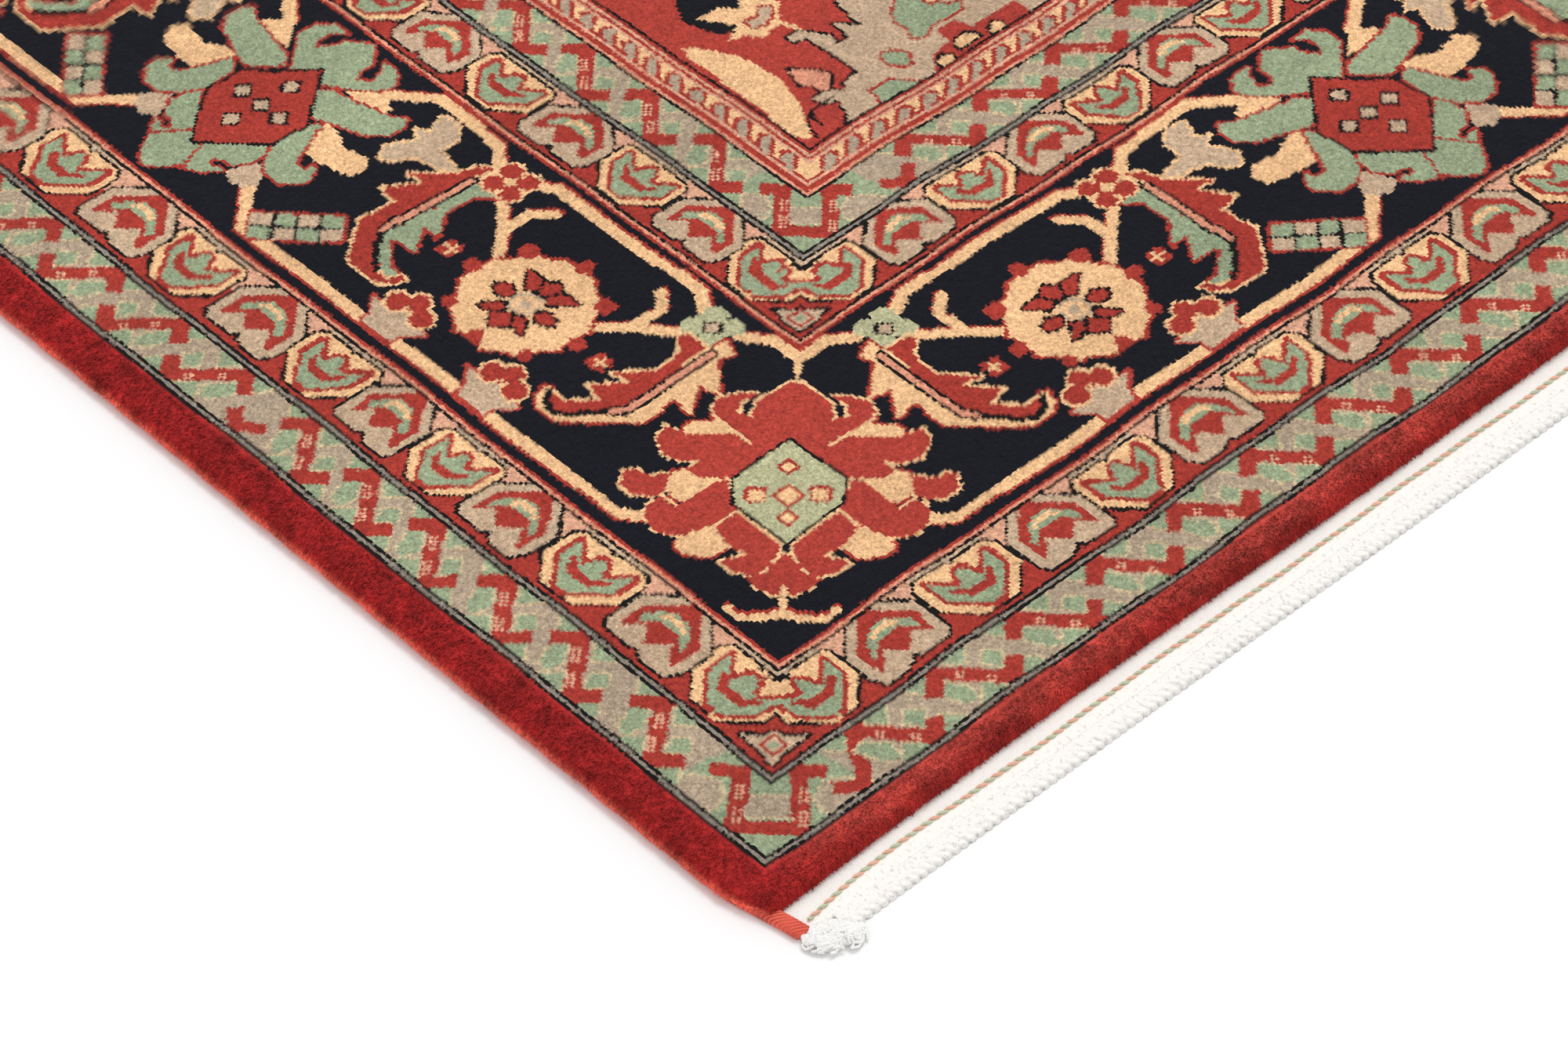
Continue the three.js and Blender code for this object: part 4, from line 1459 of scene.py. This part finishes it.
# ---- The woven ends ----
KILIM_FROM, KILIM_TO = 18, 47.2  # the flat weave's start and end, out from the outer line
BRAID_FROM, BRAID_TO = 45.6, 62  # the braid's
def kilim(end, word):
    """The flat-woven cotton strip beyond the pile at one end."""
    name = f"kilim_end_{word}"
    inner, outer = LINE_HALF_Y + KILIM_FROM, LINE_HALF_Y + KILIM_TO
    thick = cad(name, 1, 2)
    x = np.arange(-LINE_HALF_X - 6, LINE_HALF_X + 6.1, KNOT / 2)
    across = np.linspace(0, 1, 15)
    x_grid, share = np.meshgrid(x, across, indexing="ij")
    y = inner + share * (outer - inner) + end_waver(x_grid) * 0.5
    relief = 0.13 * np.cos(2 * np.pi * x_grid / KNOT) * np.where(np.arange(15) % 2, 1, -1)
    ripple = 0.18 * np.sin(x_grid / 31) * np.sin(y / 9) + 0.12 * np.sin(x_grid / 12.7 + y / 5)
    top = thick - 0.45 + relief + ripple
    sheet_points = np.stack([x_grid, y, top], -1)
    under = sheet_points[:, ::-1].copy()
    under[..., 2] = 0.15
    rings = np.concatenate([sheet_points, under], 1)
    widest = LINE_HALF_X + 17.5 - pull_in(rings[..., 1])
    rings[..., 0] *= widest / (LINE_HALF_X + 6)
    rings[..., 1] *= end
    return install(make_object(name, *tube(rings), WEAVE), "cotton_weave", name)


def twining(end, word):
    """Two coloured threads twined round each other across the flat weave."""
    x = np.arange(-LINE_HALF_X - 4, LINE_HALF_X + 4, 1.5)
    from_corner = LINE_HALF_X - np.abs(x)
    bend = 6.2 * np.exp(-((from_corner + 12) / 45) ** 2)
    out = TWINED_AT + bend + 0.6 * np.sin(x / 37) + 0.25 * np.sin(x / 11)
    turn = 2 * np.pi * x / 12.7
    for phase, colour in ((0, "salmon"), (np.pi, "green")):
        y = end * (LINE_HALF_Y + out - 0.85 * np.cos(turn + phase))
        z = 2.7 + 0.7 * np.sin(turn + phase)
        name = f"twining_thread_{colour}_{word}"
        rings = along_path(np.stack([x, y, z], -1), 0.72 + 0.28 * np.sin(turn + phase))
        install(make_object(name, *tube(rings), THREADS[colour]), f"thread_{colour}", name)


def braid(end, word):
    """The warp ends, plaited into a nubbly band with a row of knuckles along its outer edge."""
    name = f"end_braid_{word}"
    inner, outer = LINE_HALF_Y + BRAID_FROM, LINE_HALF_Y + BRAID_TO
    half = cad(name, 1, 0) + 4
    knuckle, nub = 6.6, 3.3
    x = np.arange(-half, half, 0.8)
    rows = np.arange(20)
    x_grid, row = np.meshgrid(x, rows, indexing="ij")
    share = np.clip(row / 17, 0, 1)
    bulge = np.abs(np.sin(np.pi * (x_grid / knuckle + 0.15 * np.sin(x_grid / 40) - 1.1 * share)))
    nubs = np.abs(np.sin(np.pi * (x_grid / nub + 0.5 * (row // 3 % 2))))
    nubs = nubs * np.abs(np.sin(np.pi * (row + 0.5) / 3))
    rim = eased(share, 0.5, 0.2)
    y = inner + share * (outer - inner - 1.7 + 1.7 * bulge**0.6 * rim) + end_waver(x_grid) * 0.5
    fall = np.sqrt(np.clip(1 - (np.clip(share - 0.82, 0, 1) / 0.19) ** 2, 0, 1))
    z = 2.3 + 0.4 * nubs * (1 - rim) + rim * (0.1 + 1.4 * bulge**0.6)
    z = np.where(row > 16.5, 0.2, 0.3 + (z - 0.3) * fall) + rng.normal(0, 0.05, z.shape)
    y = np.where(row == 19, inner, y)
    rings = np.stack([x_grid, end * y, np.maximum(z, 0.15)], -1)
    # Painted shade: the colour is darkened in the grooves between the knuckles and between the nubs, and
    # towards the outer rim where the braid falls to the floor.
    shade = 1 - 0.2 * rim * (1 - bulge) ** 1.5 - 0.1 * (1 - rim) * (1 - nubs) ** 2
    shade = shade - 0.12 * eased(share, 0.86, 0.14)
    shade = np.clip(shade, 0.3, 1).ravel()
    points, faces = tube(rings)
    tinted = linear(255, 251, 246) * np.append(shade, np.ones(len(points) - len(shade)))[:, None]
    piece = make_object(name, points, faces, PLAIT, tinted[np.asarray(faces).ravel()])
    install(piece, "cotton_weave", name)


def tassel(end, side, end_word, side_word):
    """A clump of looped cotton yarn where the braid ends."""
    name = f"corner_tassel_{end_word}_{side_word}"
    low, high = (np.array(c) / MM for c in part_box(name))
    middle, reach = (low + high) / 2, (high - low) / 2
    wide, deep, tall = 1.28 * reach[0], 0.92 * reach[1], 2 * reach[2] - 2.0
    leant = -end * side * math.radians(28)
    turned = np.array([[math.cos(leant), math.sin(leant)], [-math.sin(leant), math.cos(leant)]])

    def placed(px, py, pz):
        """A place in the clump, from shares of its half sizes."""
        flat = np.stack([wide * px, deep * py], -1) @ turned
        return np.stack([middle[0] + flat[..., 0], middle[1] + flat[..., 1], 0.3 + tall * pz], -1)

    turn, rise = np.meshgrid(np.arange(48) * np.pi / 24, np.linspace(0.05, 1, 14) * np.pi / 2, indexing="xy")
    lumps = 0.9 + 0.1 * np.sin(5 * turn + 3 * rise) + 0.06 * np.sin(11 * turn - 4 * rise)
    dome = lumps * np.cos(rise) ** 0.45
    yarns = [tube(placed(lumps * np.cos(turn) * np.sin(rise), lumps * np.sin(turn) * np.sin(rise), dome))]
    for k in range(150):
        steps = np.linspace(0, 1, 12)
        home, heading = 0.92 * math.sqrt(rng.uniform()), rng.uniform(0, 2 * np.pi)
        swing = rng.uniform(0, 2 * np.pi) + 2 * np.pi * steps * rng.uniform(0.3, 0.7)
        size = rng.uniform(0.1, 0.26)
        px = home * np.cos(heading) + size * np.cos(swing)
        py = home * np.sin(heading) + size * np.sin(swing) * wide / deep
        pz = np.clip(1 - (px * px + py * py) * 0.7, 0.08, 1) ** 0.45 + 0.07 * np.sin(3 * swing)
        yarns.append(tube(along_path(placed(px, py, pz), rng.uniform(0.7, 1.1))))
    install(make_object(name, *joined(yarns), FLUFF), "cotton_cord", name)


def foundation(chart):
    """The knotted web that carries the pile, with the design showing on its underside."""
    step = 5
    web_half = LINE_HALF_X + 17
    web_end = LINE_HALF_Y + 21
    across, along = round(2 * web_half / (step * KNOT)), round(2 * web_end / (step * KNOT))
    x, y = np.meshgrid(
        np.linspace(web_half, -web_half, across + 1), np.linspace(-web_end, web_end, along + 1), indexing="ij"
    )
    middle_x, middle_y = (x[:-1, :-1] + x[1:, 1:]) / 2, (y[:-1, :-1] + y[1:, 1:]) / 2
    colours = pile_colours(chart, middle_x.ravel(), middle_y.ravel(), step * KNOT, 2)
    z = 0.45 + rng.normal(0, 0.06, x.shape)
    points = np.stack([np.sign(x) * np.minimum(np.abs(x), web_half - pull_in(y)), y, z], -1)
    faces = grid_faces(across + 1, along + 1)
    piece = make_object("foundation_web", points, faces, BACK, colours)
    install(piece, "cotton_weave", "foundation_web")


WOOL_PILE = pile_material()
BACK = back_material()
WEAVE = weave_material("cotton_weave")
# The plait's colour comes from the braid's colours, with their painted shade.
PLAIT = weave_material("cotton_plait", True)
CORD = yarn_material("cotton_cord", linear(244, 239, 230), (0.5, 0.85, 0.2), 1.4)
FLUFF = yarn_material("cotton_fluff", linear(255, 253, 250), (0.5, 0.85, 0.2), 1.4)
OVERCAST = yarn_material("wool_overcast", linear(236, 100, 80), (0.6, 1.0, 0.0), 2.8, 0.26)
THREADS = {
    "salmon": yarn_material("thread_salmon", linear(246, 190, 162), (1.0, 0.9, 0.3), 1.6),
    "green": yarn_material("thread_green", linear(204, 212, 180), (1.0, 0.9, 0.3), 1.6),
}

make_camera()
make_floor()
make_light()
design = quarter_chart()
tiles = patterned_pile(design)
plain_edge(design)
edge_fibres(design)
foundation(design)
selvedge(-1, "left")
selvedge(1, "right")
for end, end_word in ((-1, "near"), (1, "far")):
    cloth = kilim(end, end_word)
    twining(end, end_word)
    braid(end, end_word)
    for side, side_word in ((-1, "left"), (1, "right")):
        tassel(end, side, end_word, side_word)
